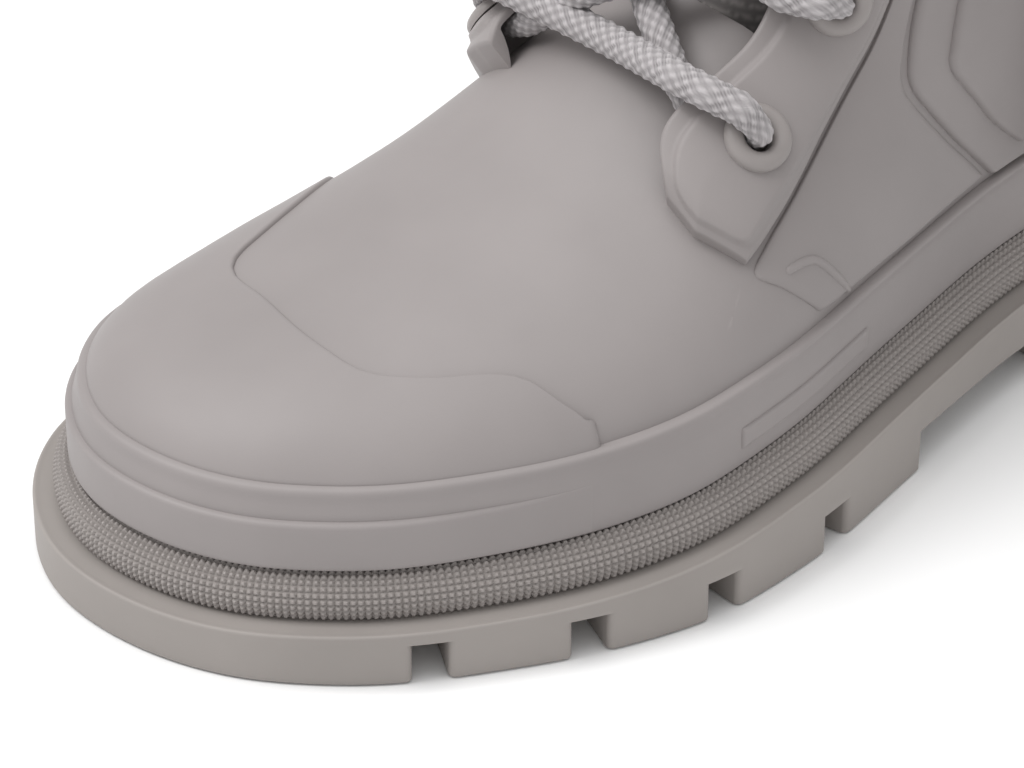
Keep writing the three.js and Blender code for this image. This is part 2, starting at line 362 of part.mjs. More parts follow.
add('upper_shell', slab(shellGrid(NS, WS, RAND_LOW), () => 0, () => -UPPER_T, true), 'rubber');
add('lining', slab(shellGrid(NS, [0.02, 0.1, 0.22, 0.35, 0.49, 0.63, 0.77, 0.9, 0.99], RAND_LOW + 3.6), () => -4.75, () => -5.4, true), 'textile');
function liner(name, ws, f0, f1, lowOff) {   // stiff layer between shell and lining over part of the outline
  const g = shellGrid(NS, ws, lowOff), fs = meridians(NS).map((q) => q.f), ok = fs.map((f) => f >= f0 && f <= f1), n = fs.length;
  let a = ok.findIndex((v, i) => v && !ok[(i + n - 1) % n]), idx = [];
  for (let k = 0; k < n && ok[(a + k) % n]; k++) idx.push((a + k) % n);
  const S = g.map((r) => idx.map((i) => r[i]));
  add(name, slab(S, () => -3, () => -3.75), 'plastic');
}
liner('toe_puff', [0.02, 0.1, 0.2, 0.32, 0.42], 0.76, 1, RAND_LOW + 3.6);
liner('heel_stiffener', [0.02, 0.1, 0.2, 0.3, 0.38], 0, 0.24, RAND_LOW + 3.6);
add('insole_board', fromSolid(deck(13.1, (y) => ZL(y) + 9.9, (y) => ZL(y) + 11.7, 48, 100)), 'board');
add('footbed', fromSolid(deck(16.6, (y) => ZL(y) + 12.3, (y) => ZL(y) + 15.8, 48, 120)), 'foam');
{
  const n = 12, P = [], T = [];
  for (const h of [8.65, 9.45]) for (const x of [-5, 9]) for (let i = 0; i < n; i++) { const y = -24 + i * 10; P.push([x, y, ZL(y) + h]); }
  const id = (a, b, i) => a * 2 * n + b * n + i;
  for (let i = 0; i < n - 1; i++) for (const [u, v] of [[[0, 0], [0, 1]], [[0, 1], [1, 1]], [[1, 1], [1, 0]], [[1, 0], [0, 0]]]) { const a = id(...u, i), b = id(...u, i + 1), c = id(...v, i), e = id(...v, i + 1); T.push(a, b, c, b, e, c); }
  for (const i of [0, n - 1]) T.push(id(0, 0, i), id(0, 1, i), id(1, 0, i), id(0, 1, i), id(1, 1, i), id(1, 0, i));
  add('shank', orient({ P, T }), 'metal');
}

// ---------------------------------------------------------------- overlays on the upper
const overlay = (name, S, t, mat = 'rubber', base = LOW) => add(name, slab(S, (i, j) => base + (i === 0 || j === 0 || i === S.length - 1 || j === S[0].length - 1 ? t * 0.55 : t), () => base), mat);
const ends = (n, e = 0.025) => [0, e, ...Array.from({ length: n }, (_, i) => e + (1 - 2 * e) * (i + 1) / (n + 1)), 1 - e, 1];
{
  const Q = WALL, front = stationRange(medialAt(-62), lateralAt(-81.5), 41).map((t) => { const p = at(Q, t); return onSurf([p[0], p[1], ZL(p[1]) + RAND_TOP + 0.45], true).p; });
  const rear = catmull([[-50, -58.5, 40.5], [-46.5, -60.5, 45], [-40, -66, 49], [-35.5, -77, 50], [-32.5, -88, 50], [-30, -97, 49], [-25, -101.5, 50], [-15, -103, 50], [-3, -105, 50], [7, -105, 49], [13, -104, 48], [18, -101, 48], [24, -95, 48], [30, -87, 48], [35, -83, 47], [40, -81.5, 45], [43.6, -79.5, 42.8], [46.2, -78.5, 40.4]], 60, false);
  const S = patch([front, front.map((p, i) => mix(p, resample(rear, 41, false)[i], 0.5).map((v, q) => v + (q === 2 ? 4 : 0))), rear], 0, 0, ends(21, 0.012), ends(4, 0.05));
  overlay('toe_cap', S, 0.95);
}
const QUARTER = [
  [[50.5, -24.5, 43.6], [46.5, 5, 44], [40, 31, 45.6]], [[47.6, -33, 51], [44, -4, 51.5], [40.5, 24.5, 52.5]], [[45.4, -38, 55], [43, -9, 57.5], [40, 19, 58]],
  [[43.8, -33.5, 59], [41, -10, 63], [39.5, 12, 66]], [[41, -22, 65.6], [39.5, -6, 70.5], [38, 7.6, 73]], [[36.9, -4.2, 77.4], [37, 3, 79.5], [37.3, 8.6, 80.5]],
  [[36.2, 4.6, 86.6], [37, 9, 89], [37.6, 12, 90.5]], [[37.4, 11.2, 100.5], [38, 15, 101.5], [38.3, 18, 102.5]], [[38.7, 17.2, 116.5], [39, 21.5, 117], [39.3, 26, 117.5]],
  [[39.5, 24.2, 132], [40, 28, 132.5], [40.3, 32.5, 133]], [[39.9, 27.6, 140.4], [40.4, 32, 140.6], [40.8, 36.5, 140.8]]];
const COUNTER_F = pchip([46, 52, 57, 66, 73, 80, 90, 102, 117, 129, 137, 141], [33, 26.2, 21.4, 13.8, 9.4, 10.2, 13.6, 19.8, 28, 34.3, 40.5, 50]);
const PAD_F = pchip([48, 57, 69, 74, 79, 90, 102, 115, 124, 130.5], [40, 31.6, 21.6, 18.6, 19.6, 23, 29, 36.5, 43.5, 55]);
const sideRow = (z, y0, xEnd) => { const q = []; for (const y of [y0, y0 + (100 - y0) * 0.25, y0 + (100 - y0) * 0.5, y0 + (100 - y0) * 0.75, 100]) q.push(onSurf([48, y, z], true).p.map((v, k) => (k === 1 ? y : v))); for (const [a, b] of [[30, 118], [20, 128], [xEnd + CX(z), 134]]) { const r = onSurf([a, b, z], true).p; r[0] = a === xEnd + CX(z) ? a : r[0]; q.push(onSurf(r, true).p); }; return q; };
const cRows = [0, 0.6, 0.9].map((v) => v).concat([52, 59, 66, 73, 80, 90, 102, 117, 129, 137, 141]).slice(3);
const floorZ = (y, dz) => ZL(y) + RAND_TOP + dz;
function counterRows(F0, zs, xEnd, dz) { const first = zs.length ? [] : []; const b = sideRow(46, F0(46), xEnd).map((p) => onSurf([p[0], p[1], floorZ(p[1], dz)], true).p); return [b, ...zs.map((z) => sideRow(z, F0(z), xEnd))]; }
for (const [sfx, M] of [['lateral', (r) => r], ['medial', mirror]]) {
  overlay('quarter_' + sfx, patch(M(QUARTER), 0, 0, ends(4, 0.04), ends(11, 0.015)), 0.75, 'rubber', sfx === 'medial' ? 1.35 : 0.6);
  overlay('heel_counter_' + sfx, patch(M(counterRows(COUNTER_F, cRows, 10, 1.2)), 0, 0, ends(10, 0.02), ends(8, 0.02)), 1.2, 'rubber', 0.7);
  overlay('heel_pad_' + sfx, patch(M(counterRows(PAD_F, [57, 69, 74, 79, 90, 102, 115, 124, 130.5], 17, 5.5)), 0, 0, ends(8, 0.025), ends(7, 0.025)), 0.75, 'rubber', 0.7 + 1.2 + 1.15);
  overlay('collar_panel_' + sfx, patch(M([142.2, 157, 172, 188, 203.2].map((z) => sideRow(z, 28.3 + (z - 142) * 0.163, 9.8))), 0, 0, ends(9, 0.015), ends(3, 0.05)), 0.85, 'rubber', 0.9);
  overlay('tab_frame_' + sfx, patch(M([[[50.3, -22.5, 45.3], [49, -14, 45.5]], [[46.8, -31.4, 54], [46.9, -23.5, 54.2]]]), 0, 0, ends(1, 0.12), ends(1, 0.1)), 0.6, 'rubber', (sfx === 'medial' ? 1.35 : 0.6) + 0.75 + 0.4);
}
overlay('backstay', patch([ZL(136) + RAND_TOP + 1, 60, 75, 90, 105, 120, 140, 160, 182, 203.2].map((z) => [[-8.2 + CX(z), 131, z], [CX(z), 134, z], [8.2 + CX(z), 131, z]].map((p) => [p[0], onSurf(p, true).p[1], z])), 0, 0, ends(1, 0.08), ends(8, 0.02)), 1.7);
{ // plain raised bar on the outer side of the rand
  const n = 12, s = stationRange(lateralAt(-49), lateralAt(-9), n);
  const face = (d, h) => s.map((t, k) => { const Q = inset(RAND_INSET - GAP - d * (k === 0 || k === n - 1 ? 0.5 : 1)), p = at(Q, t); return [p[0], p[1], ZL(p[1]) + h]; });
  const rows = [face(0, 12.6), face(0.5, 12.6), face(0.7, 13), face(0.7, 16.4), face(0.5, 16.8), face(0, 16.8)], P = rows.flat(), T = skin(rows, false, true);
  for (const c of [0, n - 1]) for (let k = 1; k < 5; k++) T.push(c, k * n + c, (k + 1) * n + c);
  add('rand_bar', orient({ P, T }), 'rubber');
}

// ---------------------------------------------------------------- facings, eyelets, tongue
const FACING = [
  [[28.4, -43.8, 64.6], [35.7, -44.2, 61], [43.4, -39, 56.6]], [[22.4, -38.4, 69.6], [31.9, -37.9, 65], [41.6, -31.8, 60.3]], [[21.3, -32.2, 73.2], [30.4, -30.4, 69.5], [39.4, -24.6, 64]],
  [[21.7, -24, 78.3], [29.2, -21.6, 74.5], [36.6, -15.6, 69.4]], [[21.4, -16.6, 83.4], [29.1, -12.8, 80.2], [35, -6.4, 76.6]], [[21, -10.5, 91.5], [28.5, -5.8, 89.2], [34.6, 2.6, 85.8]],
  [[21, -6, 104], [29, 0, 102], [36.2, 10, 100]], [[21, -2, 118], [30, 5, 117], [37.5, 16, 116]], [[22, 5, 136], [31, 12, 135], [38.4, 23, 134]],
  [[22.5, 12, 156], [31.5, 19, 155.5], [39, 28.6, 155]], [[23, 16, 178], [32, 23, 178], [39.3, 32.3, 178]], [[23, 19, 203], [32, 26, 203], [39.6, 35.6, 203]]];
const FT = 2.7, FU = [0, 0.03, 0.2, 0.36, 0.52, 0.68, 0.84, 1], FV = ends(17, 0.012);
const LIFT = (v) => 6.3 - 4.7 * clamp(1 - v / 0.17, 0, 1) ** 1.3 - 3.7 * clamp((v - 0.28) / 0.2, 0, 1) ** 1.2;
const facingLow = (u, v) => 1.3 + LIFT(v) * (1 - u) ** 0.55;
const EYE_U = [0.57, 0.48, 0.44, 0.44, 0.44, 0.44], EYE_V = [0.204, 0.485, 0.61, 0.718, 0.82, 0.918];
const FOOT_V = { lateral: 0, medial: 0.11 };      // the inner flap starts higher up the foot
const EYES = {};
const eyeRing = (r) => r;
for (const [sfx, M] of [['lateral', (r) => r], ['medial', mirror]]) {
  const rows = M(FACING), W = FV.map((v) => FOOT_V[sfx] + (1 - FOOT_V[sfx]) * v), S = patch(rows, 0, 0, FU, W);
  let body = solid(slab(S, (i, j) => facingLow(FU[j], W[i]) + (i === 0 || i === FV.length - 1 || j === 0 || j === FU.length - 1 ? FT * 0.6 : FT), (i, j) => facingLow(FU[j], W[i])));
  const E = EYE_V.map((v, q) => {
    const us = [0, EYE_U[q] - 0.12, EYE_U[q], EYE_U[q] + 0.12, 1], G = patch(rows, 0, 0, us, [clamp(v - 0.04, 0, 1), v, clamp(v + 0.04, 0, 1)]);
    const lo = (j, i) => off(G[i][j], facingLow(us[j], v) + FT);
    const a = V(lo(1, 1)), b = V(lo(3, 1)), c = V(lo(2, 0)), d = V(lo(2, 2)), top = V(lo(2, 1));
    const n = b.clone().sub(a).cross(d.clone().sub(c)).normalize(); if (n.dot(V(G[1][2].n)) < 0) n.negate();
    const front = V(off(G[1][0], facingLow(0, v) + FT));
    return { c: top, n, t: front.clone().sub(top).projectOnPlane(n).normalize(), front, S: G[1], v, x: v === EYE_V[1] ? 1.1 : 0.1 };
  });
  for (const e of E) {
    const q = new THREE.Quaternion().setFromUnitVectors(new THREE.Vector3(0, 0, 1), e.n), P = [], T = [], k = 9;
    for (const z of [-9, 4]) for (let j = 0; j < k; j++) P.push(new THREE.Vector3(4.6 * Math.cos(2 * Math.PI * j / k), 4.6 * Math.sin(2 * Math.PI * j / k), z).applyQuaternion(q).add(e.c).toArray());
    for (let j = 0; j < k; j++) { const b = (j + 1) % k; T.push(j, b, k + j, b, k + b, k + j); }
    for (let j = 1; j < k - 1; j++) { T.push(0, j + 1, j); T.push(k, k + j, k + j + 1); }
    body = body.subtract(solid(orient({ P, T })));
  }
  add('facing_' + sfx, fromSolid(body), 'rubber');
  E.forEach((e, i) => {
    const g0 = i === 1 ? 1.4 : 0.6, prof = [[3.5, -2.2], [3.9, -2.2], [3.9, g0], [6.5, g0], [5.3, g0 + 1.5], [3.5, g0 + 0.8]], k = 9;
    const q = new THREE.Quaternion().setFromUnitVectors(new THREE.Vector3(0, 0, 1), e.n);
    const loops = prof.map(([r, z]) => Array.from({ length: k }, (_, j) => new THREE.Vector3(r * Math.cos(2 * Math.PI * j / k), r * Math.sin(2 * Math.PI * j / k), z).applyQuaternion(q).add(e.c).toArray()));
    add('eyelet_' + sfx + '_' + (i + 1), orient({ P: loops.flat(), T: skin(loops, true, true) }), 'rubber');
  });
  EYES[sfx] = E;
}
const TONGUE = [[[-18, -25, 79], [0, -28, 81], [18, -25, 79]], [[-24, -11, 85], [0, -16, 87], [24, -11, 85]], [[-28, -2, 97], [0, -9, 98], [28, -2, 97]], [[-30, 4, 118], [0, -5, 118], [30, 4, 118]],
  [[-31, 12, 140], [0, 5, 140], [31, 12, 140]], [[-32, 20, 165], [0, 13, 165], [32, 20, 165]], [[-32, 25, 190], [0, 18, 190], [32, 25, 190]], [[-30, 26, 215], [0, 21, 215], [30, 26, 215]]];
{
  const U = ends(5, 0.04), W = ends(9, 0.025), S = patch(TONGUE, 0, 0, U, W);
  add('tongue', slab(S, (i, j) => (i === 0 || j === 0 || i === W.length - 1 || j === U.length - 1 ? -6.8 : -6), (i, j) => (i === 0 || j === 0 || i === W.length - 1 || j === U.length - 1 ? -8.2 : -9.6)), 'textile');
}
{ // rolled bead along the top edge
  const z = COLLAR_Z + 2.95, w = SW(z), bk = SB(z), fr = SF(z), cy = (fr + bk) / 2 + (bk - fr) * 0.04, e = 2 / SHAFT_N, arc = [];
  for (let k = 0; k <= 46; k++) { const a = -1.35 + k / 46 * (Math.PI + 2.7), c = Math.cos(a), q = Math.sin(a), p = [SHAFT_X + w * Math.sign(c) * Math.abs(c) ** e, q > 0 ? cy + (bk - cy) * q ** e : cy - (cy - fr) * (-q) ** e, z], u = onSurf(p, true); if (p[1] > 36.5) arc.push([u.p[0] - u.n[0] * 2.1, u.p[1] - u.n[1] * 2.1, z]); }
  add('collar_bead', tube(arc, 2.45, 6, false), 'rubber');
}
{ // moulded pull tab with a finger slot, behind the collar
  const w = 10, z0 = 176, z1 = 226, t = 2.6, P = [], T = [], k = 20, out = [], inn = [];
  for (let i = 0; i < k; i++) { const a = 2 * Math.PI * i / k, c = Math.cos(a), s = Math.sin(a), e = 0.55; out.push([CX(200) + Math.sign(c) * Math.abs(c) ** e * w, (z0 + z1) / 2 + Math.sign(s) * Math.abs(s) ** e * (z1 - z0) / 2]); inn.push([CX(200) + 6.2 * Math.sign(c) * Math.abs(c) ** e, 217 + 5.2 * Math.sign(s) * Math.abs(s) ** e]); }
  const loops = [[out, 0], [out, t], [inn, t], [inn, 0]].map(([Q, d]) => Q.map(([x, z]) => [x, SB(z) + 3.1 + d, z]));
  add('pull_tab', orient({ P: loops.flat(), T: skin(loops, true, true) }), 'rubber');
}

// ---------------------------------------------------------------- lace
{
  const pts = [], rad = [];
  const put = (v, r) => { pts.push(v.toArray()); rad.push(r); };
  const add3 = (a, ...q) => { let v = a.clone(); for (let i = 0; i < q.length; i += 2) v.add(q[i].clone().multiplyScalar(q[i + 1])); return v; };
  const edgePt = (e, h) => V(off(e.S[0], h));
  const upThrough = (e) => {        // from under the free edge, up through the eyelet, back over the edge
    put(edgePt(e, facingLow(0, e.v) - 3.4), 2.6);
    put(add3(e.c, e.n, -FT - 2.6, e.t, 4.2), 1.8); put(add3(e.c, e.n, -FT - 1.6, e.t, 0.6), 1.7); put(add3(e.c, e.n, -1), 1.85);
    put(add3(e.c, e.n, 2.7 + e.x, e.t, 0.1), 2.0); put(add3(e.c, e.n, 5.1 + e.x, e.t, 2.9), 2.5); put(add3(e.c, e.n, 5 + e.x, e.t, 6.5), 2.8); put(edgePt(e, facingLow(0, e.v) + FT + 3.5), 2.8);
  };
  const rev = (f) => { const a = pts.length; f(); const p = pts.splice(a), r = rad.splice(a); p.reverse(); r.reverse(); pts.push(...p); rad.push(...r); };
  const L = EYES.lateral, Md = EYES.medial;
  const mid = (a, b, h) => { const m = a.clone().add(b).multiplyScalar(0.5), s = onSurf(m.toArray()); put(V(off(s, h)), 2.8); };
  // one half of the lace from the bottom bar up to a free end
  const half2 = (sgn) => {
    const first = sgn > 0 ? Md : L, second = sgn > 0 ? L : Md;
    // bottom bar runs over the top of both first eyelets
    const seq = [];
    const e0 = first[0];
    put(edgePt(e0, facingLow(0, e0.v) + FT + 3.5), 2.8); put(add3(e0.c, e0.n, 4.9, e0.t, 6.5), 2.8); put(add3(e0.c, e0.n, 4.9, e0.t, 2.9), 2.7); put(add3(e0.c, e0.n, 2.6, e0.t, 0.1), 2.1); put(add3(e0.c, e0.n, -1), 1.9);
    put(add3(e0.c, e0.n, -FT - 1.3, e0.t, 0.6), 1.75); put(add3(e0.c, e0.n, -FT - 2.25, e0.t, 4.2), 1.85); put(edgePt(e0, facingLow(0, e0.v) - 3.2), 2.5);
    for (let k = 1; k < 6; k++) {
      const from = (k % 2 ? first : second)[k - 1], to = (k % 2 ? second : first)[k];
      mid(edgePt(from, 0), edgePt(to, 0), (sgn > 0 ? 6.6 : 0.4) + (k === 1 ? 5 : 0));
      upThrough(to);
    }
    const last = (5 % 2 ? second : first)[5], sx = Math.sign(last.c.x);
    // free end: lies back over the side of the shaft and hangs down
    pts.pop(); rad.pop(); pts.pop(); rad.pop(); pts.pop(); rad.pop();
    put(add3(last.c, last.n, 5.6, last.t, -1.2), 2.7);
    for (const [y, z, h] of [[38, 197, 7.5], [46, 188, 5.4], [51, 172, 4.8], [53, 150, 5.2], [53, 125, 7], [50, 100, 8.4], [47, 80, 9], [46, 60, 9.5]]) { const s = onSurf([sx * 50, y, z], true); put(V(off(s, h)), 2.8); }
  };
  half2(-1); const a = pts.splice(0), ra = rad.splice(0); a.reverse(); ra.reverse(); half2(1); const b = pts.splice(0), rb = rad.splice(0);
  const s0 = onSurf([0, (L[0].c.y + Md[0].c.y) / 2 - 2, 80]);
  const ctl = [...a, off(s0, 6.2), ...b], rr = [...ra, 2.8, ...rb];
  const q = ctl.map((p, i) => [...p, rr[i]]), fine = catmull(q, (q.length - 1) * 6 + 1, false);
  const keep = resample(fine.map((p) => p), 190, false);
    add('lace', tube(keep.map((p) => p.slice(0, 3)), (i) => keep[i][3], 5, false), 'lace');
  [[0, 1], [keep.length - 1, 2]].forEach(([e, k]) => {
    const p = V(keep[e].slice(0, 3)), d = p.clone().sub(V(keep[e ? e - 2 : 2].slice(0, 3))).normalize(), A = p.clone().add(d.clone().multiplyScalar(0.35)), B = A.clone().add(d.clone().multiplyScalar(16));
    add('aglet_' + k, tube([A.toArray(), A.clone().lerp(B, 0.5).toArray(), B.toArray()], 1.9, 8, false, [1, 0.2, 0.1]), 'plastic');
  });
}
// origin under the middle of the sole
const mid = [0, 1].map((k) => (Math.min(...OUT.map((p) => p[k])) + Math.max(...OUT.map((p) => p[k]))) / 2);
group.position.set(-mid[0], -mid[1], 0); group.updateMatrixWorld(true);
export default group;
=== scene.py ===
import bpy
import bmesh
import math
import numpy as np
from mathutils import Vector, Matrix
from mathutils.geometry import delaunay_2d_cdt


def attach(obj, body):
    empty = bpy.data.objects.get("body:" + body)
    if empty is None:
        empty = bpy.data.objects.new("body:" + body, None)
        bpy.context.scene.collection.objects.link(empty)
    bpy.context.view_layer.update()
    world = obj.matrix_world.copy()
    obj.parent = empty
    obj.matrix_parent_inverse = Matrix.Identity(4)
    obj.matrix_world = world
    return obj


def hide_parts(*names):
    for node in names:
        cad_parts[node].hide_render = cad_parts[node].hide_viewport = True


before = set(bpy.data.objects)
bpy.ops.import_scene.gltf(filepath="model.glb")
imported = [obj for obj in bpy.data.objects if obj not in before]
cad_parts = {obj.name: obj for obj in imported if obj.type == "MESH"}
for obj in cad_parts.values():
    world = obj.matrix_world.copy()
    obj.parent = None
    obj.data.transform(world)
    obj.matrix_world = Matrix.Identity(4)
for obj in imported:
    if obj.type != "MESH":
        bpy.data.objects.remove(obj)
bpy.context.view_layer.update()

# ------------------------------------------------------------------ dimensions (mm), as in the CAD source
SOLE_OUTLINE = [[-31, -144.6], [-21, -147.3], [-11.6, -147.6], [-3, -146.5], [4.4, -144.8], [10.7, -142.3], [19.1, -138], [26, -132.2], [34.4, -124], [39.8, -116.8], [43.8, -110.3], [49.6, -99.2], [54, -90.9], [58.7, -78.3], [62.1, -66.4], [63.1, -57.2], [62.6, -46.2], [61.8, -34.5], [60.2, -25], [57.8, -14.7], [54.8, -1], [52, 13], [49, 28], [47, 45], [46, 70], [44, 95], [37, 120], [20, 140], [-4, 146], [-26, 134], [-37, 108], [-38.5, 76], [-37.5, 48], [-39.6, 20], [-45, -6], [-51.5, -32], [-57, -59], [-60, -88], [-57.5, -117], [-46, -135]]
LEDGE_Y = [-150, -130, -100, -80, -60, -40, -20, 0, 35, 80, 145]
LEDGE_Z = [9.6, 10.4, 10.8, 11.8, 13.6, 15.2, 16.4, 17.2, 18.8, 20.2, 21]
TOP_Y = [-160, -155, -140, -125, -105, -80, -55, -30, -5, 25, 60, 100, 160]
TOP_Z = [51.1, 54.1, 53.7, 53.2, 53.2, 56.4, 64, 78.1, 91.6, 112, 118, 114, 108]
FOOT_P, FOOT_Q = 2.1, 2.3
RISE_Y, RISE = [-160, -20, 20, 60, 110, 160], [18.15, 18.15, 20, 30, 37, 37]
SHAFT_Z = [30, 60, 90, 120, 150, 180, 212]
SHAFT_FRONT = [10, -2, -14, -6, 8, 16, 20]
SHAFT_BACK = [126, 128, 124.5, 120, 120, 123, 126]
SHAFT_HALF = [28, 29.5, 32.5, 35, 37, 39, 41]
SHAFT_X, SHAFT_N, BLEND = 3.5, 2.8, 12
WALL_INSET = 10
TOE_C, HEEL_C = [0, -62], [4, 92]
COLLAR_Z = 204
GAP = 0.35
BAND_R, BAND_INSET, BAND_Z = 5, 9.2, 3.3
RAND_INSET, RAND_LOW, RAND_BEVEL, RAND_TOP = 8.2, 8.6, 19.4, 25
NOTCH_ROOF, NOTCH_DEPTH, ARCH_ROOF = 8.2, 13, 8.5
UPPER_T = 2.2


# ------------------------------------------------------------------ curves
def pchip(X, Y):
    X, Y = np.array(X, float), np.array(Y, float)
    n = len(X)
    h = np.diff(X)
    d = np.diff(Y) / h
    m = np.zeros(n)
    for i in range(1, n - 1):
        if d[i - 1] * d[i] > 0:
            w1, w2 = 2 * h[i] + h[i - 1], h[i] + 2 * h[i - 1]
            m[i] = (w1 + w2) / (w1 / d[i - 1] + w2 / d[i])

    def end(h0, h1, d0, d1):
        v = ((2 * h0 + h1) * d0 - h0 * d1) / (h0 + h1)
        if v * d0 <= 0:
            return 0.0
        if d0 * d1 <= 0 and abs(v) > 3 * abs(d0):
            return 3 * d0
        return v

    if n > 2:
        m[0], m[-1] = end(h[0], h[1], d[0], d[1]), end(h[-1], h[-2], d[-1], d[-2])
    else:
        m[:] = d[0]

    def f(x):
        x = np.clip(np.asarray(x, float), X[0], X[-1])
        i = np.clip(np.searchsorted(X, x, side="right") - 1, 0, n - 2)
        t = (x - X[i]) / h[i]
        t2, t3 = t * t, t * t * t
        return Y[i] * (2 * t3 - 3 * t2 + 1) + h[i] * m[i] * (t3 - 2 * t2 + t) + Y[i + 1] * (-2 * t3 + 3 * t2) + h[i] * m[i + 1] * (t3 - t2)

    return f


def dense(X, Y, x0, x1):
    g = np.arange(x0, x1 + 0.25, 0.5)
    T = pchip(X, Y)(g)
    return lambda x: np.interp(x, g, T)


def resample(P, n, closed=False):
    P = np.asarray(P, float)
    Q = np.vstack([P, P[:1]]) if closed else P
    d = np.concatenate([[0], np.cumsum(np.linalg.norm(np.diff(Q, axis=0), axis=1))])
    t = d[-1] * np.arange(n) / (n if closed else n - 1)
    return np.stack([np.interp(t, d, Q[:, k]) for k in range(Q.shape[1])], 1)


def catmull(P, n, closed=False):
    P = np.asarray(P, float)
    m = len(P)
    k = np.arange(n)
    t = k * m / n if closed else k * (m - 1) / (n - 1)
    i = np.minimum(np.floor(t).astype(int), m - 1 if closed else m - 2)
    u = (t - i)[:, None]
    g = (lambda q: P[q % m]) if closed else (lambda q: P[np.clip(q, 0, m - 1)])
    a, b, c, e = g(i - 1), g(i), g(i + 1), g(i + 2)
    return 0.5 * (2 * b + (c - a) * u + (2 * a - 5 * b + 4 * c - e) * u * u + (3 * b - a - 3 * c + e) * u ** 3)


def smooth(P, k):
    for _ in range(k):
        P = (np.roll(P, 1, 0) + 2 * P + np.roll(P, -1, 0)) / 4
    return P


NO = 1440
OUT = smooth(resample(catmull(SOLE_OUTLINE, 2880, True), NO, True), 300)
MIDX, MIDY = (OUT[:, 0].min() + OUT[:, 0].max()) / 2, (OUT[:, 1].min() + OUT[:, 1].max()) / 2
OFFSET = np.array([-MIDX, -MIDY, 0.0])
TAN = np.roll(OUT, -3, 0) - np.roll(OUT, 3, 0)
NRM = np.stack([TAN[:, 1], -TAN[:, 0]], 1) / np.linalg.norm(TAN, axis=1)[:, None]
if (NRM * (OUT - OUT.mean(0))).sum() < 0:
    NRM = -NRM


def inset(d, k=60):
    return smooth(OUT - NRM * d, k)


WALL = inset(WALL_INSET)
ZL, ZT, ZB = dense(LEDGE_Y, LEDGE_Z, -165, 165), dense(TOP_Y, TOP_Z, -165, 165), dense(RISE_Y, RISE, -165, 165)
SF, SB, SW = dense(SHAFT_Z, SHAFT_FRONT, 0, 230), dense(SHAFT_Z, SHAFT_BACK, 0, 230), dense(SHAFT_Z, SHAFT_HALF, 0, 230)


def polar(c):
    a = np.arctan2(WALL[:, 0] - c[0], -(WALL[:, 1] - c[1]))
    r = np.hypot(WALL[:, 0] - c[0], WALL[:, 1] - c[1])
    o = np.argsort(a)
    a, r = a[o], r[o]
    A = np.concatenate([[a[-1] - 2 * np.pi], a, [a[0] + 2 * np.pi]])
    R = np.concatenate([[r[-1]], r, [r[0]]])
    return lambda q: np.interp(q, A, R)


RT, RH = polar(TOE_C), polar(HEEL_C)


def half(sd):
    q = WALL[WALL[:, 0] * sd > 0]
    q = q[np.argsort(q[:, 1])]
    g = np.arange(-160, 160.25, 0.5)
    T = sd * np.interp(g, q[:, 1], q[:, 0])
    return lambda y: np.interp(y, g, T)


XL, XM = half(1), half(-1)


def F(x, y, z):
    zt, zb = ZT(y), ZL(y) + ZB(y)
    rho = np.where(x > 0, x / XL(y), -x / XM(y))
    dx, dy = x - TOE_C[0], y - TOE_C[1]
    rho = np.where(y < TOE_C[1], np.hypot(dx, dy) / RT(np.arctan2(dx, -dy)), rho)
    dx, dy = x - HEEL_C[0], y - HEEL_C[1]
    rho = np.where(y > HEEL_C[1], np.hypot(dx, dy) / RH(np.arctan2(dx, -dy)), rho)
    zz = np.maximum(z - zb, 0) / (zt - zb)
    ff = ((np.abs(rho) ** FOOT_P + zz ** FOOT_Q) ** (2 / (FOOT_P + FOOT_Q)) - 1) * 45
    zc = np.clip(z, SHAFT_Z[0], SHAFT_Z[-1])
    fr, bk, w = SF(zc), SB(zc), SW(zc)
    cy = (fr + bk) / 2 + (bk - fr) * 0.04
    a = np.abs(x - SHAFT_X) / w
    b = np.where(y > cy, (y - cy) / (bk - cy), (cy - y) / (cy - fr))
    up = 46 + 16 * np.clip((y - 30) / 40, 0, 1)
    lo = np.clip((ZL(y) + up - z) / (up - 26), 0, 1)
    fs = ((a ** SHAFT_N + b ** SHAFT_N) ** (1 / SHAFT_N) - 1) * w * 0.95 + 16 * lo * lo * (3 - 2 * lo)
    h = np.clip(0.5 + 0.5 * (ff - fs) / BLEND, 0, 1)
    return ff * (1 - h) + fs * h - BLEND * h * (1 - h)


def grad(p):
    e = 0.4
    g = np.empty_like(p)
    for k in range(3):
        a, b = p.copy(), p.copy()
        a[:, k] += e
        b[:, k] -= e
        g[:, k] = (F(a[:, 0], a[:, 1], a[:, 2]) - F(b[:, 0], b[:, 1], b[:, 2])) / (2 * e)
    return g


def on_surf(p, keep=False):
    """Nearest points of the upper's outer face, and the outward normals."""
    p = np.array(p, float)
    shape = p.shape
    p = p.reshape(-1, 3)
    keep = np.broadcast_to(np.asarray(keep), shape[:-1]).reshape(-1)
    live = np.arange(len(p))
    for _ in range(25):
        q = p[live]
        f = F(q[:, 0], q[:, 1], q[:, 2])
        g = grad(q)
        g[keep[live], 2] = 0
        st = -g * (f / ((g * g).sum(1) + 1e-6))[:, None]
        l = np.linalg.norm(st, axis=1)
        st *= np.where(l > 6, 6 / np.maximum(l, 1e-9), 1)[:, None]
        p[live] = q + st * 0.9
        live = live[np.abs(f) >= 0.0005]
        if not len(live):
            break
    g = grad(p)
    n = g / np.maximum(np.linalg.norm(g, axis=1), 1e-9)[:, None]
    return p.reshape(shape), n.reshape(shape)


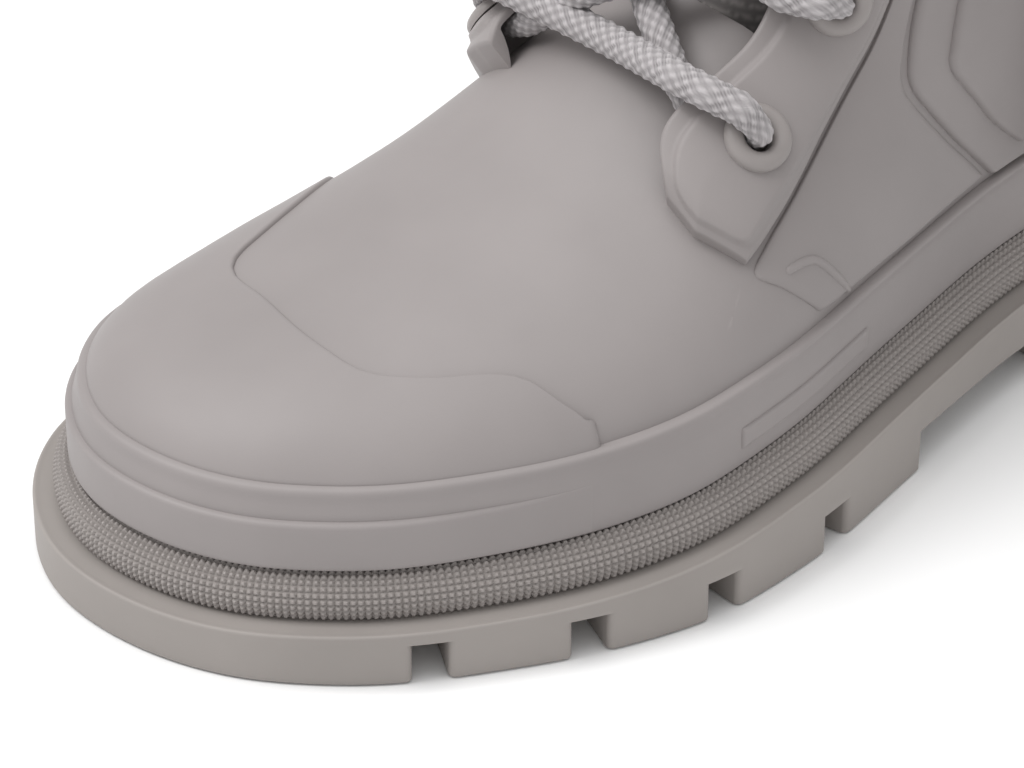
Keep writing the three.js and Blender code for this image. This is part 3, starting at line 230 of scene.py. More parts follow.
def patch(rows, U, W):
    """Grid of surface points from control rows: W along the rows' order, U across."""
    cols = np.stack([resample(r, 41) for r in rows])
    spl = np.stack([catmull(cols[:, j], 1201) for j in range(41)])
    U, W = np.asarray(U, float), np.asarray(W, float)
    a, c = U * 40, W * 1200
    j, k = np.minimum(39, a.astype(int)), np.minimum(1199, c.astype(int))
    fa, fc = (a - j)[None, :, None], (c - k)[:, None, None]
    g = lambda q, r: spl[q][:, r].transpose(1, 0, 2)
    P = (g(j, k) * (1 - fa) + g(j + 1, k) * fa) * (1 - fc) + (g(j, k + 1) * (1 - fa) + g(j + 1, k + 1) * fa) * fc
    return on_surf(P)


def CX(z):
    return 2.5 * np.clip((np.asarray(z, float) - 80) / 50, 0, 1)


def flip(p):
    p = np.array(p, float)
    p[..., 0] = 2 * CX(p[..., 2]) - p[..., 0]
    return p


def mirror(rows):
    return [flip(r) for r in rows]


def stations(m):
    a, b, c = np.roll(OUT, 6, 0), OUT, np.roll(OUT, -6, 0)
    t1, t2 = np.arctan2(*(b - a).T[::-1]), np.arctan2(*(c - b).T[::-1])
    d = np.abs(t2 - t1)
    d = np.where(d > np.pi, 2 * np.pi - d, d)
    w = np.concatenate([[0], np.cumsum(0.55 + 0.45 * d / 6 * NO / (2 * np.pi))])
    return np.interp(w[-1] * np.arange(m) / m, w, np.arange(NO + 1))


def at(P, s):
    s = np.asarray(s, float)
    i = np.floor(s).astype(int)
    f = (s - i)[..., None]
    return P[i % len(P)] * (1 - f) + P[(i + 1) % len(P)] * f


def outward(Q, s):
    a, b = at(Q, np.asarray(s) + 3), at(Q, np.asarray(s) - 3 + len(Q))
    t = a - b
    n = np.stack([t[..., 1], -t[..., 0]], -1) / np.linalg.norm(t, axis=-1)[..., None]
    ref = at(NRM, s)
    return n * np.sign((n * ref).sum(-1))[..., None]


def lateral_at(y):
    i = np.where(OUT[:, 0] > 0)[0]
    return i[np.argmin(np.abs(OUT[i, 1] - y))]


def medial_at(y):
    i = np.where(OUT[:, 0] < -8)[0]
    return i[np.argmin(np.abs(OUT[i, 1] - y))]


def station_range(i0, i1, n):
    d = (i1 - i0) % NO
    return (i0 + d * np.arange(n) / (n - 1)) % NO


# ------------------------------------------------------------------ materials
def lin(c):
    return [((v / 255 + 0.055) / 1.055) ** 2.4 if v > 10 else v / 255 / 12.92 for v in c] + [1.0]


def mat(name, rgb, rough=0.55, metal=0.0):
    m = bpy.data.materials.new(name)
    m.use_nodes = True
    nt = m.node_tree
    b = nt.nodes["Principled BSDF"]
    b.inputs["Roughness"].default_value = rough
    b.inputs["Metallic"].default_value = metal
    b.inputs["Base Color"].default_value = lin(rgb)
    return m, nt, b


def node(nt, kind, **inputs):
    n = nt.nodes.new(kind)
    for k, v in inputs.items():
        n.inputs[k.replace("_", " ")].default_value = v
    return n


def tint(nt, b, rgb, spread, scale, coord, detail=3.0):
    """Base colour varying softly round rgb."""
    no = node(nt, "ShaderNodeTexNoise", Scale=scale, Detail=detail, Roughness=0.5)
    nt.links.new(coord, no.inputs["Vector"])
    r = nt.nodes.new("ShaderNodeValToRGB")
    r.color_ramp.elements[0].position, r.color_ramp.elements[1].position = 0.3, 0.7
    r.color_ramp.elements[0].color = lin([v * (1 - spread) for v in rgb])
    r.color_ramp.elements[1].color = lin([min(255, v * (1 + spread)) for v in rgb])
    nt.links.new(no.outputs["Fac"], r.inputs["Fac"])
    return r.outputs["Color"]


def rubber(name, rgb, rough=0.55, spread=0.025, grain=1800.0, depth=0.00003, edges=0.10, sheen=0.0):
    m, nt, b = mat(name, rgb, rough)
    co = nt.nodes.new("ShaderNodeTexCoord").outputs["Object"]
    col = tint(nt, b, rgb, spread, 26.0, co)
    # painted highlight: convex edges slightly lighter
    geo = nt.nodes.new("ShaderNodeNewGeometry")
    ramp = nt.nodes.new("ShaderNodeValToRGB")
    ramp.color_ramp.elements[0].position, ramp.color_ramp.elements[1].position = 0.52, 0.62
    ramp.color_ramp.elements[0].color, ramp.color_ramp.elements[1].color = (0, 0, 0, 1), (1, 1, 1, 1)
    nt.links.new(geo.outputs["Pointiness"], ramp.inputs["Fac"])
    mul = nt.nodes.new("ShaderNodeMath")
    mul.operation = "MULTIPLY"
    mul.inputs[1].default_value = edges
    nt.links.new(ramp.outputs["Color"], mul.inputs[0])
    mix = nt.nodes.new("ShaderNodeMix")
    mix.data_type = "RGBA"
    nt.links.new(mul.outputs[0], mix.inputs["Factor"])
    nt.links.new(col, mix.inputs[6])
    mix.inputs[7].default_value = lin([min(255, v * 1.35) for v in rgb])
    nt.links.new(mix.outputs[2], b.inputs["Base Color"])
    # uneven sheen of moulded rubber
    n1 = node(nt, "ShaderNodeTexNoise", Scale=90.0, Detail=4.0, Roughness=0.6)
    nt.links.new(co, n1.inputs["Vector"])
    mr = node(nt, "ShaderNodeMapRange")
    mr.inputs["To Min"].default_value, mr.inputs["To Max"].default_value = rough - 0.05, rough + 0.06
    nt.links.new(n1.outputs["Fac"], mr.inputs["Value"])
    nt.links.new(mr.outputs["Result"], b.inputs["Roughness"])
    # fine mould grain over a faint orange peel
    n2 = node(nt, "ShaderNodeTexNoise", Scale=grain, Detail=3.0, Roughness=0.6)
    n3 = node(nt, "ShaderNodeTexNoise", Scale=150.0, Detail=2.0, Roughness=0.5)
    nt.links.new(co, n2.inputs["Vector"])
    nt.links.new(co, n3.inputs["Vector"])
    b1 = node(nt, "ShaderNodeBump", Strength=0.35, Distance=depth)
    b2 = node(nt, "ShaderNodeBump", Strength=0.35, Distance=0.00012)
    nt.links.new(n3.outputs["Fac"], b2.inputs["Height"])
    nt.links.new(n2.outputs["Fac"], b1.inputs["Height"])
    nt.links.new(b2.outputs["Normal"], b1.inputs["Normal"])
    nt.links.new(b1.outputs["Normal"], b.inputs["Normal"])
    b.inputs["Specular IOR Level"].default_value = 0.4
    return m


def cloth(name, rgb, pitch=0.0011, spread=0.06, depth=0.00018, rough=0.9):
    """Knit or plain weave from two crossed waves, with fibre noise."""
    m, nt, b = mat(name, rgb, rough)
    co = nt.nodes.new("ShaderNodeTexCoord").outputs["Object"]
    hs = []
    for axis, turn in (("Z", 0.0), ("X", 0.0), ("Y", 0.0)):
        w = node(nt, "ShaderNodeTexWave", Scale=0.314 / pitch / 2, Distortion=0.35, Detail=1.0)
        w.inputs["Detail Scale"].default_value = 2.0
        w.wave_type, w.bands_direction = "BANDS", axis
        nt.links.new(co, w.inputs["Vector"])
        hs.append(w.outputs["Fac"])
    a = nt.nodes.new("ShaderNodeMath")
    a.operation = "MULTIPLY"
    nt.links.new(hs[0], a.inputs[0])
    mx = nt.nodes.new("ShaderNodeMath")
    mx.operation = "MAXIMUM"
    nt.links.new(hs[1], mx.inputs[0])
    nt.links.new(hs[2], mx.inputs[1])
    nt.links.new(mx.outputs[0], a.inputs[1])
    fib = node(nt, "ShaderNodeTexNoise", Scale=2600.0, Detail=4.0, Roughness=0.7)
    nt.links.new(co, fib.inputs["Vector"])
    ad = nt.nodes.new("ShaderNodeMath")
    ad.operation = "ADD"
    nt.links.new(a.outputs[0], ad.inputs[0])
    nt.links.new(fib.outputs["Fac"], ad.inputs[1])
    bp = node(nt, "ShaderNodeBump", Strength=0.7, Distance=depth)
    nt.links.new(ad.outputs[0], bp.inputs["Height"])
    nt.links.new(bp.outputs["Normal"], b.inputs["Normal"])
    # painted shade: the weave's low parts darker
    dark = nt.nodes.new("ShaderNodeMix")
    dark.data_type = "RGBA"
    nt.links.new(a.outputs[0], dark.inputs["Factor"])
    dark.inputs[6].default_value = lin([v * 0.78 for v in rgb])
    nt.links.new(tint(nt, b, rgb, spread, 60.0, co), dark.inputs[7])
    nt.links.new(dark.outputs[2], b.inputs["Base Color"])
    b.inputs["Sheen Weight"].default_value = 0.25
    return m


RUB = (144, 138, 137)
M_UPPER = rubber("upper_rubber", RUB, 0.50)
M_RAND = rubber("rand_rubber", RUB, 0.52)
M_SOLE = rubber("sole_rubber", (148, 142, 138), 0.58, grain=1500.0, depth=0.00004, edges=0.2)
M_BAND = rubber("band_rubber", (147, 141, 138), 0.55, grain=1500.0, edges=0.25)
M_EYE = rubber("eyelet_rubber", (147, 141, 139), 0.42, edges=0.0)
M_TAB = rubber("tab_rubber", RUB, 0.5)
M_FOAM = rubber("foam", (112, 108, 105), 0.85, spread=0.05, grain=900.0, depth=0.0001, edges=0.0)
M_PLAST = rubber("stiffener_plastic", (168, 164, 162), 0.5, edges=0.0)
M_LINING = cloth("lining_knit", (128, 123, 121), 0.0008, depth=0.00008)
M_TONGUE = cloth("tongue_knit", (132, 127, 125), 0.0009, depth=0.00009)
M_BED = cloth("footbed_cloth", (120, 115, 112), 0.0010)
M_BOARD = cloth("insole_board", (114, 104, 94), 0.0009, depth=0.00005)


def steel():
    m, nt, b = mat("shank_steel", (150, 150, 152), 0.35, 1.0)
    co = nt.nodes.new("ShaderNodeTexCoord").outputs["Object"]
    mp = nt.nodes.new("ShaderNodeMapping")
    mp.inputs["Scale"].default_value = (2500, 40, 2500)
    nt.links.new(co, mp.inputs["Vector"])
    n = node(nt, "ShaderNodeTexNoise", Scale=1.0, Detail=3.0)
    nt.links.new(mp.outputs["Vector"], n.inputs["Vector"])
    bp = node(nt, "ShaderNodeBump", Strength=0.3, Distance=0.00002)
    nt.links.new(n.outputs["Fac"], bp.inputs["Height"])
    nt.links.new(bp.outputs["Normal"], b.inputs["Normal"])
    return m


def braid():
    m, nt, b = mat("lace_polyester", (172, 167, 168), 0.62)
    uv = nt.nodes.new("ShaderNodeUVMap")
    uv.uv_map = "UVMap"
    co = nt.nodes.new("ShaderNodeTexCoord").outputs["Object"]
    # yarns: fine lines along the strands of each diamond
    mp = nt.nodes.new("ShaderNodeMapping")
    mp.inputs["Scale"].default_value = (40, 40, 1)
    nt.links.new(uv.outputs["UV"], mp.inputs["Vector"])
    w = node(nt, "ShaderNodeTexWave", Scale=1.0, Distortion=1.5, Detail=2.0)
    w.bands_direction = "DIAGONAL"
    nt.links.new(mp.outputs["Vector"], w.inputs["Vector"])
    n = node(nt, "ShaderNodeTexNoise", Scale=4200.0, Detail=4.0, Roughness=0.7)
    nt.links.new(co, n.inputs["Vector"])
    ad = nt.nodes.new("ShaderNodeMath")
    ad.operation = "ADD"
    nt.links.new(w.outputs["Fac"], ad.inputs[0])
    nt.links.new(n.outputs["Fac"], ad.inputs[1])
    bp = node(nt, "ShaderNodeBump", Strength=0.6, Distance=0.00012)
    nt.links.new(ad.outputs[0], bp.inputs["Height"])
    nt.links.new(bp.outputs["Normal"], b.inputs["Normal"])
    # painted shade and painted highlight: the braid's hollows darker and its crests lighter, from pointiness
    geo = nt.nodes.new("ShaderNodeNewGeometry")
    r = nt.nodes.new("ShaderNodeValToRGB")
    r.color_ramp.elements[0].position, r.color_ramp.elements[1].position = 0.42, 0.56
    r.color_ramp.elements[0].color, r.color_ramp.elements[1].color = lin((104, 99, 100)), lin((192, 187, 188))
    nt.links.new(geo.outputs["Pointiness"], r.inputs["Fac"])
    nt.links.new(r.outputs["Color"], b.inputs["Base Color"])
    b.inputs["Sheen Weight"].default_value = 0.2
    return m


M_STEEL, M_LACE = steel(), braid()


# ------------------------------------------------------------------ mesh building
def make(name, P, faces, material, slot, nodes=(), body="boot", sharp=38, uv=None, weld=0.0):
    """P in mm before the shift to the row frame."""
    P = (np.asarray(P, float) + OFFSET) / 1000
    me = bpy.data.meshes.new(name)
    me.from_pydata(P.tolist(), [], [tuple(int(i) for i in f) for f in faces])
    me.update()
    o = bpy.data.objects.new(name, me)
    bpy.context.scene.collection.objects.link(o)
    bm = bmesh.new()
    bm.from_mesh(me)
    if weld:
        bmesh.ops.remove_doubles(bm, verts=bm.verts, dist=weld / 1000)
        bmesh.ops.dissolve_degenerate(bm, edges=bm.edges, dist=1e-7)
    bmesh.ops.recalc_face_normals(bm, faces=bm.faces)
    if bm.calc_volume(signed=True) < 0:
        bmesh.ops.reverse_faces(bm, faces=bm.faces)
    bm.to_mesh(me)
    bm.free()
    me.shade_smooth()
    if sharp:
        me.set_sharp_from_angle(angle=math.radians(sharp))
    me.materials.append(material)
    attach(o, body)
    if nodes:
        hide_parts(*nodes)
    return o


def grid_faces(R, N, wrap_u=False, wrap_v=False, base=0):
    i = np.arange(R if wrap_v else R - 1)[:, None]
    j = np.arange(N if wrap_u else N - 1)[None, :]
    a = base + i * N + j
    b = base + i * N + (j + 1) % N
    c = base + ((i + 1) % R) * N + (j + 1) % N
    d = base + ((i + 1) % R) * N + j
    return np.stack([a, b, c, d], -1).reshape(-1, 4).tolist()


def slab(S, HO, HI, wrap_u=False):
    """Closed thick sheet from surface samples (points, normals) and two offset fields."""
    Pt, Nm = S
    R, N = Pt.shape[:2]
    HO, HI = np.broadcast_to(HO, (R, N)), np.broadcast_to(HI, (R, N))
    A = (Pt + Nm * HO[..., None]).reshape(-1, 3)
    B = (Pt + Nm * HI[..., None]).reshape(-1, 3)
    M = R * N
    f = grid_faces(R, N, wrap_u) + [q[::-1] for q in grid_faces(R, N, wrap_u, base=M)]
    for i in (0, R - 1):
        for j in range(N if wrap_u else N - 1):
            k = (j + 1) % N
            f.append([i * N + j, i * N + k, M + i * N + k, M + i * N + j])
    if not wrap_u:
        for j in (0, N - 1):
            for i in range(R - 1):
                f.append([i * N + j, (i + 1) * N + j, M + (i + 1) * N + j, M + i * N + j])
    return np.vstack([A, B]), f


def lengths(rows):
    cols = np.stack([resample(r, 21) for r in rows])
    return np.linalg.norm(np.diff(cols, axis=1), axis=2).sum(1).mean(), np.linalg.norm(np.diff(cols, axis=0), axis=2).sum(0).mean()


def edge_axis(L, step, r):
    """Parameters 0..1 with close rows near both ends, and each one's distance from the nearer end."""
    q = [0.0, 0.04, 0.12, 0.25, 0.42, 0.65, 1.0, 1.35]
    near = [v * r for v in q]
    n = max(3, int((L - 2 * near[-1]) / step))
    d = near + list(np.linspace(near[-1], L - near[-1], n + 1)[1:-1]) + [L - v for v in near[::-1]]
    d = np.array(d)
    return d / L, np.minimum(d, L - d)


def rounded(d, r):
    q = np.clip(1 - d / r, 0, 1)
    return np.sqrt(np.maximum(0, 1 - q * q))


def settle(S, lim=0.1):
    """Put the odd point that landed off its neighbours back among them, and even out the normals."""
    P, N = S[0].copy(), S[1].copy()
    for _ in range(3):
        a = (P[:-2, 1:-1] + P[2:, 1:-1] + P[1:-1, :-2] + P[1:-1, 2:]) / 4
        m = N[:-2, 1:-1] + N[2:, 1:-1] + N[1:-1, :-2] + N[1:-1, 2:] + N[1:-1, 1:-1]
        m /= np.linalg.norm(m, axis=-1)[..., None]
        d = ((a - P[1:-1, 1:-1]) * m).sum(-1)
        P[1:-1, 1:-1] += m * np.where(np.abs(d) > lim, d, 0)[..., None]
        N[1:-1, 1:-1] = m
    return P, N


def overlay(name, rows, top, r=0.8, step=1.6, foot=0.02, low=-0.5, slot="rubber", material=None, nodes=None, shape=None, relax=0):
    Lu, Lv = lengths(rows)
    U, du = edge_axis(Lu, step, r)
    W, dv = edge_axis(Lv, step, r)
    S = settle(patch(rows, U, W))
    for _ in range(relax):                            # evens the spacing across, away from the edges
        S[0][:, 8:-8] = (S[0][:, 7:-9] + 2 * S[0][:, 8:-8] + S[0][:, 9:-7]) / 4
    e = rounded(du, r)[None, :] * rounded(dv, r)[:, None]
    H = foot + (top - foot) * e
    if shape is not None:
        H = H + shape(U, W, du, dv)
    P, f = slab(S, H, low)
    return make(name, P, f, material or M_UPPER, slot, nodes or (name.replace("skin_", ""),))


def ring_points(profile, m, s=None):
    """Closed loops round the boot from (inset, height above the ledge)."""
    s = stations(m) if s is None else s
    L = []
    for d, h in profile:
        p = at(inset(d, int(60 + 5 * max(0, d - 10))), s)
        L.append(np.column_stack([p, ZL(p[:, 1]) + h]))
    return np.stack(L)


def tube(path, r, k, closed=False, up=(0, 0, 1), squash=1.0, caps=True):
    path = np.asarray(path, float)
    n = len(path)
    T = (np.roll(path, -1, 0) - np.roll(path, 1, 0)) if closed else np.gradient(path, axis=0)
    T /= np.linalg.norm(T, axis=1)[:, None]
    N = np.zeros_like(path)
    v = np.array(up, float)
    for i in range(n):
        if closed:
            v = np.array(up, float)
        v = v - T[i] * v.dot(T[i])
        v /= np.linalg.norm(v)
        N[i] = v
    B = np.cross(T, N)
    r = np.broadcast_to(r, (n,))
    q = 2 * np.pi * np.arange(k) / k
    P = path[:, None] + (N[:, None] * np.cos(q)[None, :, None] * squash + B[:, None] * np.sin(q)[None, :, None]) * r[:, None, None]
    f = grid_faces(n, k, True, closed)
    if not closed and caps:
        f.append(list(range(k)))
        f.append([(n - 1) * k + j for j in range(k)])
    return P.reshape(-1, 3), f, N, B


# ------------------------------------------------------------------ camera (the view of the part this boot is copied from)
AZ, EL, DIST = math.radians(47.55), math.radians(33.41), 864.0
TARGET = np.array([-19.43, -38.03, 0.0]) + OFFSET
back = np.array([math.sin(AZ) * math.cos(EL), -math.cos(AZ) * math.cos(EL), math.sin(EL)])
right = np.array([math.cos(AZ), math.sin(AZ), 0.0])
upv = np.cross(back, right)
cam_data = bpy.data.cameras.new("camera")
cam_data.sensor_fit = "HORIZONTAL"
cam_data.sensor_width = 36.0
cam_data.lens = 4403 / 1024 * 36
cam_data.clip_start, cam_data.clip_end = 0.01, 50
cam = bpy.data.objects.new("camera", cam_data)
bpy.context.scene.collection.objects.link(cam)
pos = (TARGET + back * DIST) / 1000
cam.matrix_world = Matrix(((right[0], upv[0], back[0], pos[0]), (right[1], upv[1], back[1], pos[1]), (right[2], upv[2], back[2], pos[2]), (0, 0, 0, 1)))
bpy.context.scene.camera = cam

# ------------------------------------------------------------------ outsole
ARC = np.concatenate([[0], np.cumsum(np.linalg.norm(np.diff(np.vstack([OUT, OUT[:1]]), axis=0), axis=1))])
PERIM = ARC[-1]
NOTCHES = []
for side, ys in ((1, [(-113.5, 6.6), (-87.3, 6.8), (-60.8, 6.4), (-29.8, 6.4), (72, 6.4), (97, 6.4), (122, 6.4), (142.5, 7)]),
                 (-1, [(-113, 6.6), (-86, 6.6), (-58, 6.6), (-30, 6.6), (72, 6.4), (97, 6.4), (122, 6.4)])):
    for y, w in ys:
        i = np.where(OUT[:, 0] * side > 0)[0]
        NOTCHES.append((ARC[i[np.argmin(np.abs(OUT[i, 1] - y))]], w))
ARCH0, ARCH1 = -1.0, 44.0
CR = 1.3                                   # rounding of the lugs' upright corners


def arch(y):
    d = np.minimum(y - ARCH0, ARCH1 - y)
    return ARCH_ROOF * np.clip(d / 0.12, 0, 1)


def build_outsole():
    st = list(np.linspace(0, PERIM, 620, endpoint=False))
    for s0, w in NOTCHES:
        st = [s for s in st if abs((s - s0 + PERIM / 2) % PERIM - PERIM / 2) > w / 2 + CR + 0.3]
        for sg in (-1, 1):
            e = s0 + sg * w / 2
            st += [e + sg * CR * (1 - math.cos(a)) for a in np.radians([90, 72, 54, 38, 24, 12, 4])]
            st += [e - sg * v for v in (0.0, 0.05, 1.0)]
        st.append(s0)
    for yy in (ARCH0, ARCH1):
        for side in (lateral_at, medial_at):
            s0 = ARC[side(yy)]
            st += [s0 + v for v in (-1.4, -1.0, -0.6, -0.3, -0.12, -0.02, 0.08, 0.18, 0.4, 0.8)]
    st = np.unique(np.round(np.mod(st, PERIM), 4))
    idx = np.interp(st, ARC, np.arange(NO + 1))
    D = np.zeros(len(st))                   # notch depth at each station
    for s0, w in NOTCHES:
        q = np.abs((st - s0 + PERIM / 2) % PERIM - PERIM / 2) - w / 2
        D = np.where(q < -0.02, NOTCH_DEPTH, D)
        k = (q >= -0.02) & (q < CR)
        D = np.where(k, CR - np.sqrt(np.maximum(0, CR ** 2 - (CR - np.maximum(q, 0)) ** 2)), D)
    Y0 = at(OUT, idx)[:, 1]
    D = np.where((Y0 > ARCH0) & (Y0 < ARCH1), 0, D)
    cache = {}
    ds = np.arange(0, 15.01, 0.5)
    rings = np.stack([at(inset(d, 60 if d else 0), idx) for d in ds])

    def pt(d):
        d = np.broadcast_to(d, (len(st),))
        k = np.clip(d / 0.5, 0, len(ds) - 1.001)
        i = k.astype(int)
        f = (k - i)[:, None]
        n = np.arange(len(st))
        return rings[i, n] * (1 - f) + rings[i + 1, n] * f

    loops = []

    def add(d, z):
        p = pt(d)
        loops.append(np.column_stack([p, np.broadcast_to(z, (len(st),)) if np.ndim(z) == 0 else z]))

    # underside from the centre outwards, then up the wall, then over the ledge inwards
    y_of = lambda d: pt(d)[:, 1]
    inner = 14.5
    for d in (inner, 13.4, 10.0, 6.0, 2.5, 0.9):
        dd = np.maximum(D + 0.45, d)
        add(dd, arch(y_of(dd)))
    add(D + 0.45, arch(y_of(D + 0.45)))
    base = arch(Y0)
    for d, z in ((0.22, 0.08), (0.06, 0.24), (0.0, 0.5), (0, 1.6), (0, 3.2), (0, 5.0), (0, 6.8), (0, NOTCH_ROOF - 0.01)):
        add(D + d, np.maximum(z, base + min(z, 0.5)))
    zt = ZL(Y0)
    for t in (0.0, 0.25, 0.5, 0.75):
        add(0.0, np.maximum(NOTCH_ROOF + (zt - 0.7 - NOTCH_ROOF) * t, base + 0.5 + 0.1 * t))
    for d, h in ((0.0, -0.55), (0.03, -0.3), (0.12, -0.1), (0.3, 0.03), (0.6, 0.04), (0.95, -0.05), (1.5, -0.1), (3.0, -0.1), (5.0, 0.0), (9.0, 0.0), (13.0, 0.0), (inner, 0.0)):
        p = pt(d)
        loops.append(np.column_stack([p, ZL(p[:, 1]) + h]))
    L = np.stack(loops)
    V = [L.reshape(-1, 3)]
    faces = grid_faces(L.shape[0], L.shape[1], True)
    base_n = L.shape[0] * L.shape[1]
    # tread: flat lands, cross grooves and the raised waist inside the innermost loop
    ring = pt(inner)
    n = len(ring)
    gro = [(-122, -26, 30), (-104, -26, 30), (-86, -26, 30), (-68, -26, 30), (-50, -26, 30), (-32, -26, 30), (66, -17, 23), (84, -17, 23), (102, -17, 23), (120, -17, 23)]
    ys = set(np.arange(-132, 133, 6.0))
    for y, _, _ in gro:
        ys |= {y - 2.6, y - 2.2, y, y + 2.2, y + 2.6}
    ys |= {ARCH0, ARCH0 + 0.12, ARCH1 - 0.12, ARCH1}
    ys = sorted(ys)
    xs = sorted(set(np.arange(-44, 47, 5.0)) | {-26, -25.6, 30, 29.6, -17, -16.6, 23, 22.6})
    poly = ring
    def inside(x, y, shrink=1.2):
        a, b = poly, np.roll(poly, -1, 0)
        c = ((a[:, 1] > y) != (b[:, 1] > y)) & (x < (b[:, 0] - a[:, 0]) * (y - a[:, 1]) / (b[:, 1] - a[:, 1] + 1e-12) + a[:, 0])
        return c.sum() % 2 == 1 and np.min(np.hypot(poly[:, 0] - x, poly[:, 1] - y)) > shrink
    pts = [(x, y) for y in ys for x in xs if inside(x, y)]
    coords = [Vector((float(p[0]), float(p[1]))) for p in poly] + [Vector((float(x), float(y))) for x, y in pts]
    edges = [(i, (i + 1) % n) for i in range(n)]
    v2, _, f2, _, _, _ = delaunay_2d_cdt(coords, edges, [], 1, 1e-5)
    c = np.array([[v[0], v[1]] for v in v2])

    def ground(x, y):
        z = arch(y)
        for gy, x0, x1 in gro:
            d = np.minimum(np.minimum(2.6 - np.abs(y - gy), x - x0), x1 - x)
            z = np.maximum(z, 3.8 * np.clip(d / 0.4, 0, 1))
        return z

    low = np.column_stack([c, ground(c[:, 0], c[:, 1])])
    high = np.column_stack([c, ZL(c[:, 1])])
    V += [low, high]
    m = len(c)
    faces += [[base_n + i for i in f] for f in f2] + [[base_n + m + i for i in reversed(f)] for f in f2]
    return make("skin_outsole", np.vstack(V), faces, M_SOLE, "sole", ("outsole",), weld=0.004, sharp=32)


build_outsole()

# ------------------------------------------------------------------ knurled band
def build_band():
    a0, a1 = -36.0, 118.0
    rows = 11
    K = 490
    s_arc = np.linspace(0, PERIM, K, endpoint=False)
    su, sv = [], []
    hu, hv = [], []
    for k in range(K):
        for q, h in ((0.0, 0), (0.34, 1), (0.66, 1)):
            su.append(k + q); hu.append(h)
    for k in range(rows):
        for q, h in ((0.0, 0), (0.34, 1), (0.66, 1)):
            sv.append(k + q); hv.append(h)
    sv.append(rows); hv.append(0)
    su, hu, sv, hv = np.array(su), np.array(hu), np.array(sv), np.array(hv)
    idx = np.interp(su / K * PERIM, ARC, np.arange(NO + 1))
    B = inset(BAND_INSET, 60)
    C = at(B, idx)
    Nn = outward(B, idx)
    loops = []
    for v, h in zip(sv, hv):
        a = math.radians(a0 + (a1 - a0) * v / rows)
        r = BAND_R + np.where((hu * h) > 0, 0.28, -0.34)
        ro = r * math.cos(a)
        z = BAND_Z + r * math.sin(a)
        p = C + Nn * ro[:, None]
        loops.append(np.column_stack([p, ZL(p[:, 1]) + z]))
    for ro, z in ((-3.6, 5.6), (-3.6, 0.12), (BAND_R * math.cos(math.radians(a0)) - 0.45, 0.12)):
        p = C + Nn * ro
        loops.append(np.column_stack([p, ZL(p[:, 1]) + z]))
    L = np.stack(loops)
    o = make("skin_band", L.reshape(-1, 3), grid_faces(L.shape[0], L.shape[1], True, True), M_BAND, "band", ("knurled_band",), sharp=24)
    return o


build_band()

# ------------------------------------------------------------------ rand and toe bumper
def build_rand():
    m = 560
    s = stations(m)
    p = at(WALL, s)
    prof = [(8.6, -0.4), (8.6, 1.1), (8.68, 1.45), (8.9, 1.68), (9.3, 1.8), (12, 1.8), (16, 1.8), (19.4, 1.8), (20.6, 1.62), (21.8, 1.5), (22.8, 1.55), (23.6, 1.82), (24.2, 2.0), (24.65, 1.98), (24.95, 1.75), (25.1, 1.35), (25.18, 0.8), (25.15, -0.4)]
    loops = []
    for h, t in prof:
        z = ZL(p[:, 1]) + h
        q, nn = on_surf(np.column_stack([p, z]), True)
        l = np.hypot(nn[:, 0], nn[:, 1])
        loops.append(np.column_stack([q[:, 0] + nn[:, 0] / l * t, q[:, 1] + nn[:, 1] / l * t, z]))
    L = np.stack(loops)
    make("skin_rand", L.reshape(-1, 3), grid_faces(L.shape[0], L.shape[1], True, True), M_RAND, "rubber", ("rand",), sharp=50)


def strip(name, i0, i1, n, prof, fade, material, nodes):
    """Raised strip on the upright wall of the rand."""
    s = station_range(i0, i1, n)
    B = inset(RAND_INSET, 60)
    C, Nn = at(B, s), outward(B, s)
    f = fade(np.linspace(-1, 1, n))
    rows = []
    for d, h in prof:
        p = C + Nn * (d * f)[:, None]
        rows.append(np.column_stack([p, ZL(C[:, 1]) + h]))
    L = np.stack(rows)
    R = len(prof)
    faces = grid_faces(R, n, False, True)
    faces.append([k * n for k in range(R)])
    faces.append([k * n + n - 1 for k in range(R)])
    make(name, L.reshape(-1, 3), faces, material, "rubber", nodes, sharp=50)


build_rand()
strip("skin_toe_bumper", medial_at(-88), lateral_at(-84), 420,
      [(-0.4, 9.2), (0.6, 9.2), (1.0, 9.35), (1.2, 9.7), (1.25, 10.2), (1.25, 13), (1.25, 16.5), (1.25, 18.2), (1.18, 18.6), (0.98, 18.9), (0.6, 19.1), (0.2, 19.2), (-0.4, 19.25)],
      lambda u: 1 - np.clip((np.abs(u) - 0.55) / 0.45, 0, 1) ** 1.6 * 0.97, M_RAND, ("toe_bumper",))
strip("skin_rand_bar", lateral_at(-49), lateral_at(-9), 120,
      [(-0.4, 12.5), (0.2, 12.55), (0.45, 12.7), (0.6, 13.0), (0.62, 13.4), (0.62, 16.0), (0.6, 16.4), (0.45, 16.7), (0.2, 16.85), (-0.4, 16.9)],
      lambda u: np.sqrt(np.clip(1 - np.clip((np.abs(u) - 0.94) / 0.06, 0, 1) ** 2, 0, 1)), M_RAND, ("rand_bar",))

# ------------------------------------------------------------------ upper shell and lining
THROAT = np.array([[0, -15, 87], [9, -14.5, 86], [17, -13, 84.5], [24, -11, 81], [29, -8.5, 79], [32.5, -3, 80.5], [33.5, 2, 87], [34, 6.5, 96], [34.5, 10.5, 110], [35.5, 17, 132], [37, 24.3, 156], [38, 29, 180], [38.5, 32, COLLAR_Z]])


